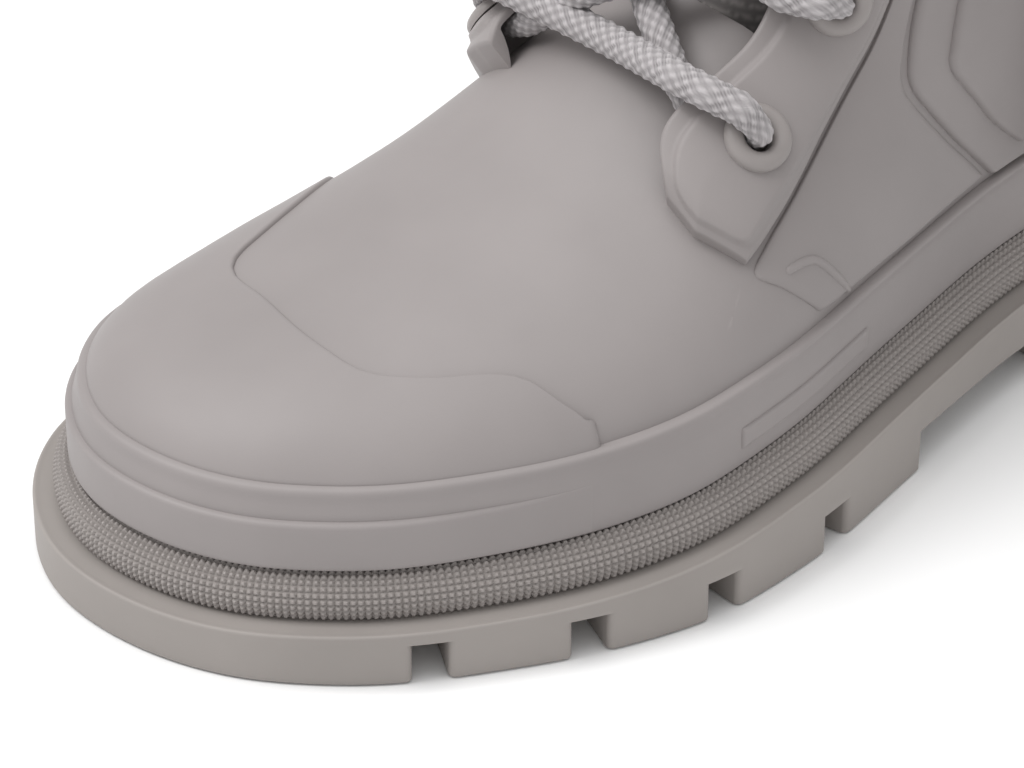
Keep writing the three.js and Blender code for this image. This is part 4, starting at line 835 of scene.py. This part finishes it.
def collar_arc(sgn):
    z = COLLAR_Z
    w, bk, fr = SW(z), SB(z), SF(z)
    cy, e = (fr + bk) / 2 + (bk - fr) * 0.04, 2 / SHAFT_N
    q = []
    for k in range(25):
        a = math.pi / 2 - k / 24 * 2.19
        c, s = math.cos(a), math.sin(a)
        q.append([SHAFT_X + sgn * w * np.sign(c) * abs(c) ** e, cy + (bk - cy) * s ** e if s > 0 else cy - (cy - fr) * (-s) ** e, z])
    return [p for p in q if p[1] > 33.5]


EDGE = [resample(collar_arc(1) + THROAT[::-1].tolist(), 200), resample(collar_arc(-1) + flip(THROAT[::-1]).tolist(), 200)]
I_TOE, I_HEEL = int(np.argmin(OUT[:, 1])), int(np.argmax(OUT[:, 1]))
MAP = pchip([0, 0.16, 0.34, 0.5, 0.64, 0.82, 1], [0, 0.2, 0.37, 0.55, 0.74, 0.91, 1])


def meridians(s):
    lat = OUT[(I_HEEL + 120) % NO, 0] > OUT[I_HEEL, 0]
    dl = (s - I_HEEL) % NO if lat else (I_HEEL - s) % NO
    tot = (I_TOE - I_HEEL) % NO if lat else (I_HEEL - I_TOE) % NO
    side = (dl > tot).astype(int)
    f = np.where(side == 0, dl / tot, (NO - dl) / (NO - tot))
    B = at(WALL, s)
    u = MAP(f) * 199
    i = np.minimum(198, u.astype(int))
    fr = (u - i)[:, None]
    E = np.where(side[:, None] == 0, EDGE[0][i] * (1 - fr) + EDGE[0][i + 1] * fr, EDGE[1][i] * (1 - fr) + EDGE[1][i + 1] * fr)
    return B, E, f


def shell_grid(m, ws, low):
    B, E, f = meridians(stations(m))
    z0 = ZL(B[:, 1]) + low
    k = np.clip((f - 0.55) / 0.35, 0, 1)
    c = np.column_stack([B, z0 + (E[:, 2] - z0) * 0.55]) * (1 - k)[:, None] + np.column_stack([B[:, 0], B[:, 1] - 2, ZT(B[:, 1]) + 6]) * k[:, None]
    b = np.column_stack([B, z0])
    G, K = [], []
    for w in ws:
        G.append((1 - w) ** 2 * b + 2 * w * (1 - w) * c + w * w * E if w > 0 else b)
        K.append(k < 0.2 if w > 0 else np.ones(len(k), bool))
    return on_surf(np.stack(G), np.stack(K))


ws = np.concatenate([np.linspace(0, 0.97, 64), [0.985, 0.994, 1.0]])
S = shell_grid(420, ws, RAND_LOW)
ho = np.zeros((len(ws), 1)); ho[-1], ho[-2] = -0.6, -0.12
hi = np.full((len(ws), 1), -UPPER_T); hi[-1] = -1.7
make("skin_upper", *slab(S, ho, hi, True), M_UPPER, "rubber", ("upper_shell",), sharp=60)
ws = np.linspace(0.02, 0.99, 48)
make("skin_lining", *slab(shell_grid(260, ws, RAND_LOW + 3.6), -4.75, -5.4, True), M_LINING, "textile", ("lining",), sharp=60)

# ------------------------------------------------------------------ toe cap and side panels
s = station_range(medial_at(-62), lateral_at(-81.5), 121)
p = at(WALL, s)
front, _ = on_surf(np.column_stack([p, ZL(p[:, 1]) + RAND_TOP - 0.6]), True)
REAR = [[-50, -58.5, 40.5], [-46.5, -60.5, 45], [-40, -66, 49], [-35.5, -77, 50], [-32.5, -88, 50], [-30, -97, 49], [-25, -101.5, 50], [-15, -103, 50], [-3, -105, 50], [7, -105, 49], [13, -104, 48], [18, -101, 48], [24, -95, 48], [30, -87, 48], [35, -83, 47], [40, -81.5, 45], [43.6, -79.5, 42.8], [46.2, -78.5, 40.4]]
rear = catmull(REAR, 121)
middle = (front + rear) / 2 + np.array([0, 0, 4])
overlay("skin_toe_cap", [front, middle, rear], 0.85, r=1.3, step=1.5, nodes=("toe_cap",))

QUARTER = [
  [[50.5, -24.5, 43.6], [46.5, 5, 44], [40, 31, 45.6]], [[47.6, -33, 51], [44, -4, 51.5], [40.5, 24.5, 52.5]], [[45.4, -38, 55], [43, -9, 57.5], [40, 19, 58]],
  [[43.8, -33.5, 59], [41, -10, 63], [39.5, 12, 66]], [[41, -22, 65.6], [39.5, -6, 70.5], [38, 7.6, 73]], [[36.9, -4.2, 77.4], [37, 3, 79.5], [37.3, 8.6, 80.5]],
  [[36.2, 4.6, 86.6], [37, 9, 89], [37.6, 12, 90.5]], [[37.4, 11.2, 100.5], [38, 15, 101.5], [38.3, 18, 102.5]], [[38.7, 17.2, 116.5], [39, 21.5, 117], [39.3, 26, 117.5]],
  [[39.5, 24.2, 132], [40, 28, 132.5], [40.3, 32.5, 133]], [[39.9, 27.6, 140.4], [40.4, 32, 140.6], [40.8, 36.5, 140.8]]]
COUNTER_F = pchip([46, 52, 57, 66, 73, 80, 90, 102, 117, 129, 137, 141], [33, 26.2, 21.4, 13.8, 9.4, 10.2, 13.6, 19.8, 28, 34.3, 40.5, 50])
PAD_F = pchip([48, 57, 69, 74, 79, 90, 102, 115, 124, 130.5], [40, 31.6, 21.6, 18.6, 19.6, 23, 29, 36.5, 43.5, 55])


def side_row(z, y0, x_end):
    cx = float(CX(z))
    q = []
    for y in (y0, y0 + (100 - y0) * 0.25, y0 + (100 - y0) * 0.5, y0 + (100 - y0) * 0.75, 100):
        r = on_surf(np.array([[48, y, z]]), True)[0][0]
        r[1] = y
        q.append(r)
    for a, b in ((30, 118), (20, 128), (x_end + cx, 134)):
        r = on_surf(np.array([[a, b, z]]), True)[0][0]
        if a == x_end + cx:
            r[0] = a
        q.append(on_surf(r[None], True)[0][0])
    return q


def counter_rows(F0, zs, x_end, dz):
    b = []
    for p in side_row(46, float(F0(46)), x_end):
        b.append(on_surf(np.array([[p[0], p[1], float(ZL(p[1])) + RAND_TOP + dz]]), True)[0][0])
    return [b] + [side_row(z, float(F0(z)), x_end) for z in zs]


for sfx, M in (("lateral", lambda r: r), ("medial", mirror)):
    overlay("skin_quarter_" + sfx, M(QUARTER), 0.85, r=1.6, step=1.6, nodes=("quarter_" + sfx,))
    overlay("skin_heel_counter_" + sfx, M(counter_rows(COUNTER_F, [52, 59, 66, 73, 80, 90, 102, 117, 129, 137, 141], 10, 1.2)), 1.5, r=1.5, step=1.8, relax=5, nodes=("heel_counter_" + sfx,))
    overlay("skin_heel_pad_" + sfx, M(counter_rows(PAD_F, [57, 69, 74, 79, 90, 102, 115, 124, 130.5], 17, 5.5)), 2.9, r=1.4, step=1.8, foot=1.3, low=0.8, relax=5, nodes=("heel_pad_" + sfx,))
    overlay("skin_collar_panel_" + sfx, M([side_row(z, 28.3 + (z - 142) * 0.163, 9.8) for z in (142.2, 157, 172, 188, 203.2)]), 1.3, r=1.2, step=2.0, nodes=("collar_panel_" + sfx,))
    # raised outline of the small tab above the rand: two ribs meeting at a rounded corner
    line = np.array([[50.6, -14.5, 43.2], [49.4, -19, 48.5], [48.0, -23.2, 52.8], [47.6, -26.0, 54.2], [47.2, -30.2, 54.2], [47.1, -32.2, 53.6]])
    if sfx == "medial":
        line = flip(line)
    c, nn = on_surf(catmull(line, 60))
    c = c + nn * 0.4
    rad = 1.0 * np.sqrt(np.clip(1 - (np.abs(np.linspace(-1, 1, 60)) ** 6), 0.02, 1))
    P, f, _, _ = tube(c, rad, 12, up=(1, 0, 0.2))
    make("skin_tab_frame_" + sfx, P, f, M_UPPER, "rubber", ("tab_frame_" + sfx,), sharp=60)

BS = [[[-8.2 + float(CX(z)), 131, z], [float(CX(z)), 134, z], [8.2 + float(CX(z)), 131, z]] for z in (float(ZL(136)) + RAND_TOP + 1, 60, 75, 90, 105, 120, 140, 160, 182, 203.2)]
BS = [[[p[0], on_surf(np.array([p]), True)[0][0][1], p[2]] for p in r] for r in BS]
overlay("skin_backstay", BS, 2.1, r=1.4, step=1.5, nodes=("backstay",))

# ------------------------------------------------------------------ lacing flaps and eyelets
FACING = [
  [[28.4, -43.8, 64.6], [35.7, -44.2, 61], [43.4, -39, 56.6]], [[22.4, -38.4, 69.6], [31.9, -37.9, 65], [41.6, -31.8, 60.3]], [[21.3, -32.2, 73.2], [30.4, -30.4, 69.5], [39.4, -24.6, 64]],
  [[21.7, -24, 78.3], [29.2, -21.6, 74.5], [36.6, -15.6, 69.4]], [[21.4, -16.6, 83.4], [29.1, -12.8, 80.2], [35, -6.4, 76.6]], [[21, -10.5, 91.5], [28.5, -5.8, 89.2], [34.6, 2.6, 85.8]],
  [[21, -6, 104], [29, 0, 102], [36.2, 10, 100]], [[21, -2, 118], [30, 5, 117], [37.5, 16, 116]], [[22, 5, 136], [31, 12, 135], [38.4, 23, 134]],
  [[22.5, 12, 156], [31.5, 19, 155.5], [39, 28.6, 155]], [[23, 16, 178], [32, 23, 178], [39.3, 32.3, 178]], [[23, 19, 203], [32, 26, 203], [39.6, 35.6, 203]]]
FT = 2.7
EYE_U, EYE_V = [0.57, 0.48, 0.44, 0.44, 0.44, 0.44], [0.204, 0.485, 0.61, 0.718, 0.82, 0.918]
FOOT_V = {"lateral": 0.0, "medial": 0.11}


def facing_low(u, v):
    v = np.asarray(v, float)
    lift = 6.3 - 4.7 * np.clip(1 - v / 0.17, 0, 1) ** 1.3 - 3.7 * np.clip((v - 0.28) / 0.2, 0, 1) ** 1.2
    return 1.3 + lift * (1 - np.asarray(u, float)) ** 0.55


def unit(v):
    return v / np.linalg.norm(v)


def apply_boolean(o, cutter):
    md = o.modifiers.new("cut", "BOOLEAN")
    md.operation, md.solver, md.object = "DIFFERENCE", "EXACT", cutter
    dg = bpy.context.evaluated_depsgraph_get()
    dg.update()
    new = bpy.data.meshes.new_from_object(o.evaluated_get(dg))
    o.modifiers.remove(md)
    o.data = new
    bpy.data.objects.remove(cutter)


def revolve(prof, k, c, n):
    """Ring from (radius, height) points round axis n through c."""
    a = unit(np.cross(n, [0.3, 0.2, 0.9] if abs(n[2]) < 0.9 else [1, 0, 0]))
    b = np.cross(n, a)
    q = 2 * np.pi * np.arange(k) / k
    P = np.stack([c + n * z + (a * np.cos(q)[:, None] + b * np.sin(q)[:, None]) * r for r, z in prof])
    return P.reshape(-1, 3), grid_faces(len(prof), k, True, True)


EYES = {}
for sfx, M in (("lateral", lambda r: r), ("medial", mirror)):
    rows = M(FACING)
    Lu, Lv = lengths(rows)
    U, du = edge_axis(Lu, 0.45, 0.9)
    W, dv = edge_axis(Lv, 0.6, 0.9)
    f0 = FOOT_V[sfx]
    W = f0 + (1 - f0) * W
    S = patch(rows, U, W)
    u, v = U[None, :], W[:, None]
    uu, vv = u * Lu, (v - f0) * Lv                           # distance from the free edge and from the foot of the flap
    e = rounded(du, 0.9)[None, :] * rounded(dv, 0.9)[:, None]
    a, b, c = uu - 3.2, vv - 3.4, (1 - u) * Lu - 1.5
    R = 4.0
    dd = np.minimum(R - np.hypot(np.maximum(R - a, 0), np.maximum(R - b, 0)), R - np.hypot(np.maximum(R - c, 0), np.maximum(R - b, 0)))
    t = np.clip(dd / 1.0, 0, 1)
    pad = t * t * (3 - 2 * t)
    low = facing_low(u, v) + 0 * v
    low = low - 1.1 * np.clip(1 - vv / 9, 0, 1) ** 1.5
    top = low + (FT - 1.15) * (0.3 + 0.7 * e) + 1.15 * pad
    # the rear edge grows out of the side panel
    join = np.clip((u - 0.8) / 0.2, 0, 1)
    low2 = low * (1 - join) - 0.3 * join
    foot = np.clip(1 - vv / 7, 0, 1) ** 0.7           # and its foot lies on the vamp
    low2 = low2 * (1 - foot) - 0.3 * foot
    P, f = slab(S, top, low2)
    o = make("skin_facing_" + sfx, P, f, M_UPPER, "rubber", ("facing_" + sfx,), sharp=60)
    E = []
    for eu, vv0 in zip(EYE_U, EYE_V):
        us = [0, eu - 0.12, eu, eu + 0.12, 1]
        G, N = patch(rows, us, [max(vv0 - 0.04, 0), vv0, min(vv0 + 0.04, 1)])
        lo = lambda j, i: G[i, j] + N[i, j] * (float(facing_low(us[j], vv0)) + FT)
        n = unit(np.cross(lo(3, 1) - lo(1, 1), lo(2, 2) - lo(2, 0)))
        if n @ N[1, 2] < 0:
            n = -n
        c, fr = lo(2, 1), lo(0, 1)
        t = fr - c
        E.append(dict(c=c, n=n, t=unit(t - n * (t @ n)), P=G[1, 0], N=N[1, 0], v=vv0, x=1.1 if vv0 == EYE_V[1] else 0.1))
    V, fs = [], []
    for ey in E:
        P, f = revolve([(0.01, -9), (4.3, -9), (4.3, 4), (0.01, 4)], 40, ey["c"], ey["n"])
        base = sum(len(q) for q in V)
        fs += [[i + base for i in q] for q in f]
        V.append(P)
    cut = make("cut", np.vstack(V), fs, M_UPPER, "rubber", (), sharp=60)
    apply_boolean(o, cut)
    o.data.shade_smooth()
    o.data.set_sharp_from_angle(angle=math.radians(60))
    for i, ey in enumerate(E):
        g = 0.8 if i == 1 else 0.0
        prof = [(2.75, -2.2), (2.75, 0.3), (2.82, 0.8), (3.05, 1.25), (3.45, 1.62), (4.0, 1.84), (4.6, 1.9), (5.2, 1.8), (5.75, 1.52), (6.15, 1.1), (6.38, 0.6), (6.45, 0.1), (6.45, -0.35), (4.0, -0.35), (4.0, -2.2)]
        prof = [(r, z + (g if z > 0 else 0)) for r, z in prof]
        P, f = revolve(prof, 72, ey["c"], ey["n"])
        make(f"skin_eyelet_{sfx}_{i + 1}", P, f, M_EYE, "rubber", (f"eyelet_{sfx}_{i + 1}",), sharp=50)
    EYES[sfx] = E

# ------------------------------------------------------------------ tongue
TONGUE = [[[-18, -25, 79], [0, -28, 81], [18, -25, 79]], [[-24, -11, 85], [0, -16, 87], [24, -11, 85]], [[-28, -2, 97], [0, -9, 98], [28, -2, 97]], [[-30, 4, 118], [0, -5, 118], [30, 4, 118]],
  [[-31, 12, 140], [0, 5, 140], [31, 12, 140]], [[-32, 20, 165], [0, 13, 165], [32, 20, 165]], [[-32, 25, 190], [0, 18, 190], [32, 25, 190]], [[-30, 26, 215], [0, 21, 215], [30, 26, 215]]]
Lu, Lv = lengths(TONGUE)
U, du = edge_axis(Lu, 1.0, 1.8)
W, dv = edge_axis(Lv, 1.2, 1.8)
e = rounded(du, 1.8)[None, :] * rounded(dv, 1.8)[:, None]
seam = np.exp(-((np.minimum(du, Lu)[None, :] - 5.0) / 0.5) ** 2) + np.exp(-((dv[:, None] - 5.0) / 0.5) ** 2)
stitch = 0.12 * np.maximum(0, np.cos(2 * np.pi * (W * Lv)[:, None] / 2.6)) * np.exp(-((du[None, :] - 5.0) / 0.5) ** 2)
crown = 0.35 * np.clip((du[None, :] - 5) / 8, 0, 1)
S = patch(TONGUE, U, W)
P, f = slab(S, -7.0 + 0.65 * e + crown - 0.45 * np.minimum(seam, 1) + stitch - (1 - e) * 0.8, -9.4 + (1 - e) * 0.9)
tongue = make("skin_tongue", P, f, M_TONGUE, "textile", ("tongue",), body="tongue_body", sharp=60)

# ------------------------------------------------------------------ collar bead and pull tab
z = COLLAR_Z + 2.95
w, bk, fr = SW(z), SB(z), SF(z)
cy, ex = (fr + bk) / 2 + (bk - fr) * 0.04, 2 / SHAFT_N
arc = []
for k in range(241):
    a = -1.35 + k / 240 * (math.pi + 2.7)
    c, q = math.cos(a), math.sin(a)
    p = np.array([SHAFT_X + w * np.sign(c) * abs(c) ** ex, cy + (bk - cy) * q ** ex if q > 0 else cy - (cy - fr) * (-q) ** ex, z])
    if p[1] > 36.5:
        g, n = on_surf(p[None], True)
        arc.append([g[0][0] - n[0][0] * 2.1, g[0][1] - n[0][1] * 2.1, z])
arc = resample(arc, 320)
taper = np.sqrt(np.clip(1 - np.abs(np.linspace(-1, 1, 320)) ** 60, 0.03, 1))
P, f, _, _ = tube(arc, 2.45 * taper, 20)
make("skin_collar_bead", P, f, M_UPPER, "rubber", ("collar_bead",), sharp=60)

w, z0, z1, t, k = 10, 176, 226, 2.6, 140
a = 2 * np.pi * np.arange(k) / k
c, s_ = np.sign(np.cos(a)) * np.abs(np.cos(a)) ** 0.55, np.sign(np.sin(a)) * np.abs(np.sin(a)) ** 0.55
CX200 = float(CX(200))
out_ = lambda g: np.column_stack([CX200 + c * (w - g), (z0 + z1) / 2 + s_ * ((z1 - z0) / 2 - g)])
inn_ = lambda g: np.column_stack([CX200 + c * (6.2 + g), 217 + s_ * (5.2 + g)])
mid_ = lambda g: np.column_stack([CX200 + c * (8.0 + g), np.where(s_ > 0, 217 + s_ * (7.2 + g), 217 + s_ * 7.2 + np.where(s_ < 0, s_ * g, 0))])
loops = [(out_(0.9), 0.0), (out_(0.25), 0.25), (out_(0.0), 0.9), (out_(0.0), t - 0.9), (out_(0.25), t - 0.25), (out_(0.9), t), (out_(1.7), t - 0.05), (out_(2.0), t - 0.45), (out_(2.6), t - 0.5),
         (inn_(0.9), t - 0.5), (inn_(0.3), t - 0.6), (inn_(0.0), t - 1.0), (inn_(0.0), 0.8), (inn_(0.3), 0.25), (inn_(0.9), 0.0)]
P = np.stack([np.column_stack([Q[:, 0], SB(Q[:, 1]) + 3.1 + d, Q[:, 1]]) for Q, d in loops])
make("skin_pull_tab", P.reshape(-1, 3), grid_faces(len(loops), k, True, True), M_TAB, "rubber", ("pull_tab",), sharp=50)

# ------------------------------------------------------------------ lace
PTS = []


def put(p, r):
    PTS.append([*p, r])


def at_eye(e, n, t=0.0):
    return e["c"] + e["n"] * n + e["t"] * t


def edge_pt(e, h):
    return e["P"] + e["N"] * h


def up_through(e):
    low = float(facing_low(0, e["v"]))
    put(edge_pt(e, low - 3.4), 2.6)
    put(at_eye(e, -FT - 2.6, 4.2), 1.8)
    put(at_eye(e, -FT - 1.6, 0.6), 1.7)
    put(at_eye(e, -1), 1.85)
    put(at_eye(e, 2.7 + e["x"], 0.1), 2.0)
    put(at_eye(e, 5.1 + e["x"], 2.9), 2.5)
    put(at_eye(e, 5 + e["x"], 6.5), 2.8)
    put(edge_pt(e, low + FT + 3.5), 2.8)


def half_lace(sgn):
    Lt, Md = EYES["lateral"], EYES["medial"]
    first, second = (Md, Lt) if sgn > 0 else (Lt, Md)
    e = first[0]
    low = float(facing_low(0, e["v"]))
    put(edge_pt(e, low + FT + 3.5), 2.8)
    put(at_eye(e, 4.9, 6.5), 2.8)
    put(at_eye(e, 4.9, 2.9), 2.7)
    put(at_eye(e, 2.6, 0.1), 2.1)
    put(at_eye(e, -1), 1.9)
    put(at_eye(e, -FT - 1.3, 0.6), 1.75)
    put(at_eye(e, -FT - 2.25, 4.2), 1.85)
    put(edge_pt(e, low - 3.2), 2.5)
    for k in range(1, 6):
        a, b = (first if k % 2 else second)[k - 1], (second if k % 2 else first)[k]
        m = (a["P"] + b["P"]) / 2
        q, n = on_surf(m[None])
        put(q[0] + n[0] * ((6.6 if sgn > 0 else 0.4) + (5 if k == 1 else 0)), 2.8)
        up_through(b)
    last = second[5]
    sx = np.sign(last["c"][0])
    del PTS[-3:]
    mark = len(PTS)
    put(at_eye(last, 5.6, -1.2), 2.7)
    for y, z, h in ((38, 197, 7.5), (46, 188, 5.4), (51, 172, 4.8), (53, 150, 5.2), (53, 125, 7), (50, 100, 8.4), (47, 80, 9), (46, 60, 9.5)):
        q, n = on_surf(np.array([[sx * 50, y, z]]), True)
        put(q[0] + n[0] * h, 2.8)
    return mark


mark = half_lace(-1)
A = np.array(PTS)
PTS = []
exit_a = A[mark][:3].copy()
A = A[::-1]
mark = half_lace(1)
B = np.array(PTS)
exit_b = B[mark][:3].copy()
q, n = on_surf(np.array([[0, (EYES["lateral"][0]["c"][1] + EYES["medial"][0]["c"][1]) / 2 - 2, 80]]))
ctl = np.vstack([A, [[*(q[0] + n[0] * 6.2), 2.8]], B])
fine = catmull(ctl, (len(ctl) - 1) * 24 + 1)
coarse = resample(fine, 190)                      # the solids' own stations, so the skin lies where they do
NL = 2740
route = resample(coarse, NL)
for _ in range(6):
    route[1:-1] = (route[:-2] + 2 * route[1:-1] + route[2:]) / 4
ia = int(np.argmin(np.linalg.norm(route[:, :3] - exit_a, axis=1)))
ib = int(np.argmin(np.linalg.norm(route[:, :3] - exit_b, axis=1)))
ARCL = np.concatenate([[0], np.cumsum(np.linalg.norm(np.diff(route[:, :3], axis=0), axis=1))])
T = np.gradient(route[:, :3], axis=0)
T /= np.linalg.norm(T, axis=1)[:, None]
NV = np.zeros_like(T)
v = np.array([0, 0, 1.0])
for i in range(NL):
    v = v - T[i] * v.dot(T[i])
    v /= np.linalg.norm(v)
    NV[i] = v
BV = np.cross(T, NV)
KA = 48
NCELL, PITCH = 16, 3.0                            # braid: cells round the cord, millimetres along it


def lace_piece(name, i0, i1, nodes):
    idx = np.arange(i0, i1 + 1)
    q = np.arange(KA) / KA
    a = ARCL[idx][:, None] / PITCH
    uu = q[None, :] * NCELL
    p, r = (uu + a * 2) / 2, (uu - a * 2) / 2
    fp, fr_ = p - np.floor(p), r - np.floor(r)
    over = (np.floor(p) + np.floor(r)) % 2
    bump = np.where(over == 0, np.sin(np.pi * fp) ** 0.7 * (0.35 + 0.65 * np.sin(np.pi * fr_)), np.sin(np.pi * fr_) ** 0.7 * (0.35 + 0.65 * np.sin(np.pi * fp)))
    rad = route[idx, 3][:, None] * (0.98 + 0.19 * bump)
    ang = 2 * np.pi * q
    P = route[idx, :3][:, None] + (NV[idx][:, None] * np.cos(ang)[None, :, None] + BV[idx][:, None] * np.sin(ang)[None, :, None]) * rad[..., None]
    n = len(idx)
    f = grid_faces(n, KA, True)
    f.append(list(range(KA)))
    f.append([(n - 1) * KA + j for j in range(KA)])
    o = make(name, P.reshape(-1, 3), f, M_LACE, "lace", nodes, sharp=0)
    me = o.data
    uvl = me.uv_layers.new(name="UVMap")
    vi = np.zeros(len(me.loops), np.int32)
    me.loops.foreach_get("vertex_index", vi)
    i, j = vi // KA, vi % KA
    quads = j[:(n - 1) * KA * 4].reshape(-1, 4)
    seam = (quads.max(1) == KA - 1) & (quads.min(1) == 0)
    quads[seam[:, None] & (quads == 0)] = KA
    uv = np.column_stack([j / KA, ARCL[np.clip(i0 + i, 0, NL - 1)] / 17.6])
    uvl.data.foreach_set("uv", uv.astype(np.float32).ravel())
    return o, idx


for k, (e0, sg) in enumerate(((0, -1), (NL - 1, 1))):
    d = T[e0] * sg
    p0 = route[e0, :3] + d * 0.35
    L = np.array([0, 0.25, 0.8, 2.0, 2.3, 2.9, 3.2, 8, 14.6, 15.4, 15.85, 16.0])
    rr = np.array([1.5, 1.8, 1.9, 1.9, 1.78, 1.78, 1.9, 1.9, 1.9, 1.75, 1.4, 0.9])
    P, f, _, _ = tube(p0 + d * L[:, None], rr, 28, up=(1, 0.1, 0.2))
    make(f"skin_aglet_{k + 1}", P, f, M_PLAST, "plastic", (f"aglet_{k + 1}",), sharp=50)
mid_o, idx = lace_piece("skin_lace", ia, ib, ("lace",))
o, idx = lace_piece("skin_lace_end_1", 0, ia, ())
o, idx = lace_piece("skin_lace_end_2", ib, NL - 1, ())

# ------------------------------------------------------------------ kept CAD nodes
for name, m in (("midsole", M_FOAM), ("insole_board", M_BOARD), ("footbed", M_BED), ("shank", M_STEEL), ("toe_puff", M_PLAST), ("heel_stiffener", M_PLAST)):
    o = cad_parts[name]
    o.data.materials.clear()
    o.data.materials.append(m)

# ------------------------------------------------------------------ floor and light
bpy.ops.mesh.primitive_plane_add(size=8, location=(0, 0, -0.0003))
floor = bpy.context.object
floor.name = "floor"
fm, nt, b = mat("floor_white", (244, 244, 244), 0.9)
b.inputs["Specular IOR Level"].default_value = 0.1
floor.data.materials.append(fm)

world = bpy.data.worlds.new("studio")
bpy.context.scene.world = world
world.use_nodes = True
world.node_tree.nodes["Background"].inputs["Color"].default_value = (1, 1, 1, 1)
world.node_tree.nodes["Background"].inputs["Strength"].default_value = 0.74


def area(name, where, target, size, energy, color=(1, 1, 1)):
    d = bpy.data.lights.new(name, "AREA")
    d.shape, d.size, d.energy, d.color = "SQUARE", size, energy, color
    o = bpy.data.objects.new(name, d)
    bpy.context.scene.collection.objects.link(o)
    o.location = where
    o.rotation_euler = (Vector(where) - Vector(target)).to_track_quat("Z", "Y").to_euler()
    return o


left = -right
key = np.array([0.0, -0.03, 0.05]) + left * 0.95 + np.array([0, 0, 1.25]) + back * 0.15
area("key", tuple(key), (0, -0.03, 0.04), 0.8, 13)
top = np.array([0.0, 0.0, 1.7]) + left * 0.1
area("top", tuple(top), (0, 0, 0), 1.4, 9)
bpy.context.scene.view_settings.view_transform = "Standard"
bpy.context.scene.view_settings.look = "None"
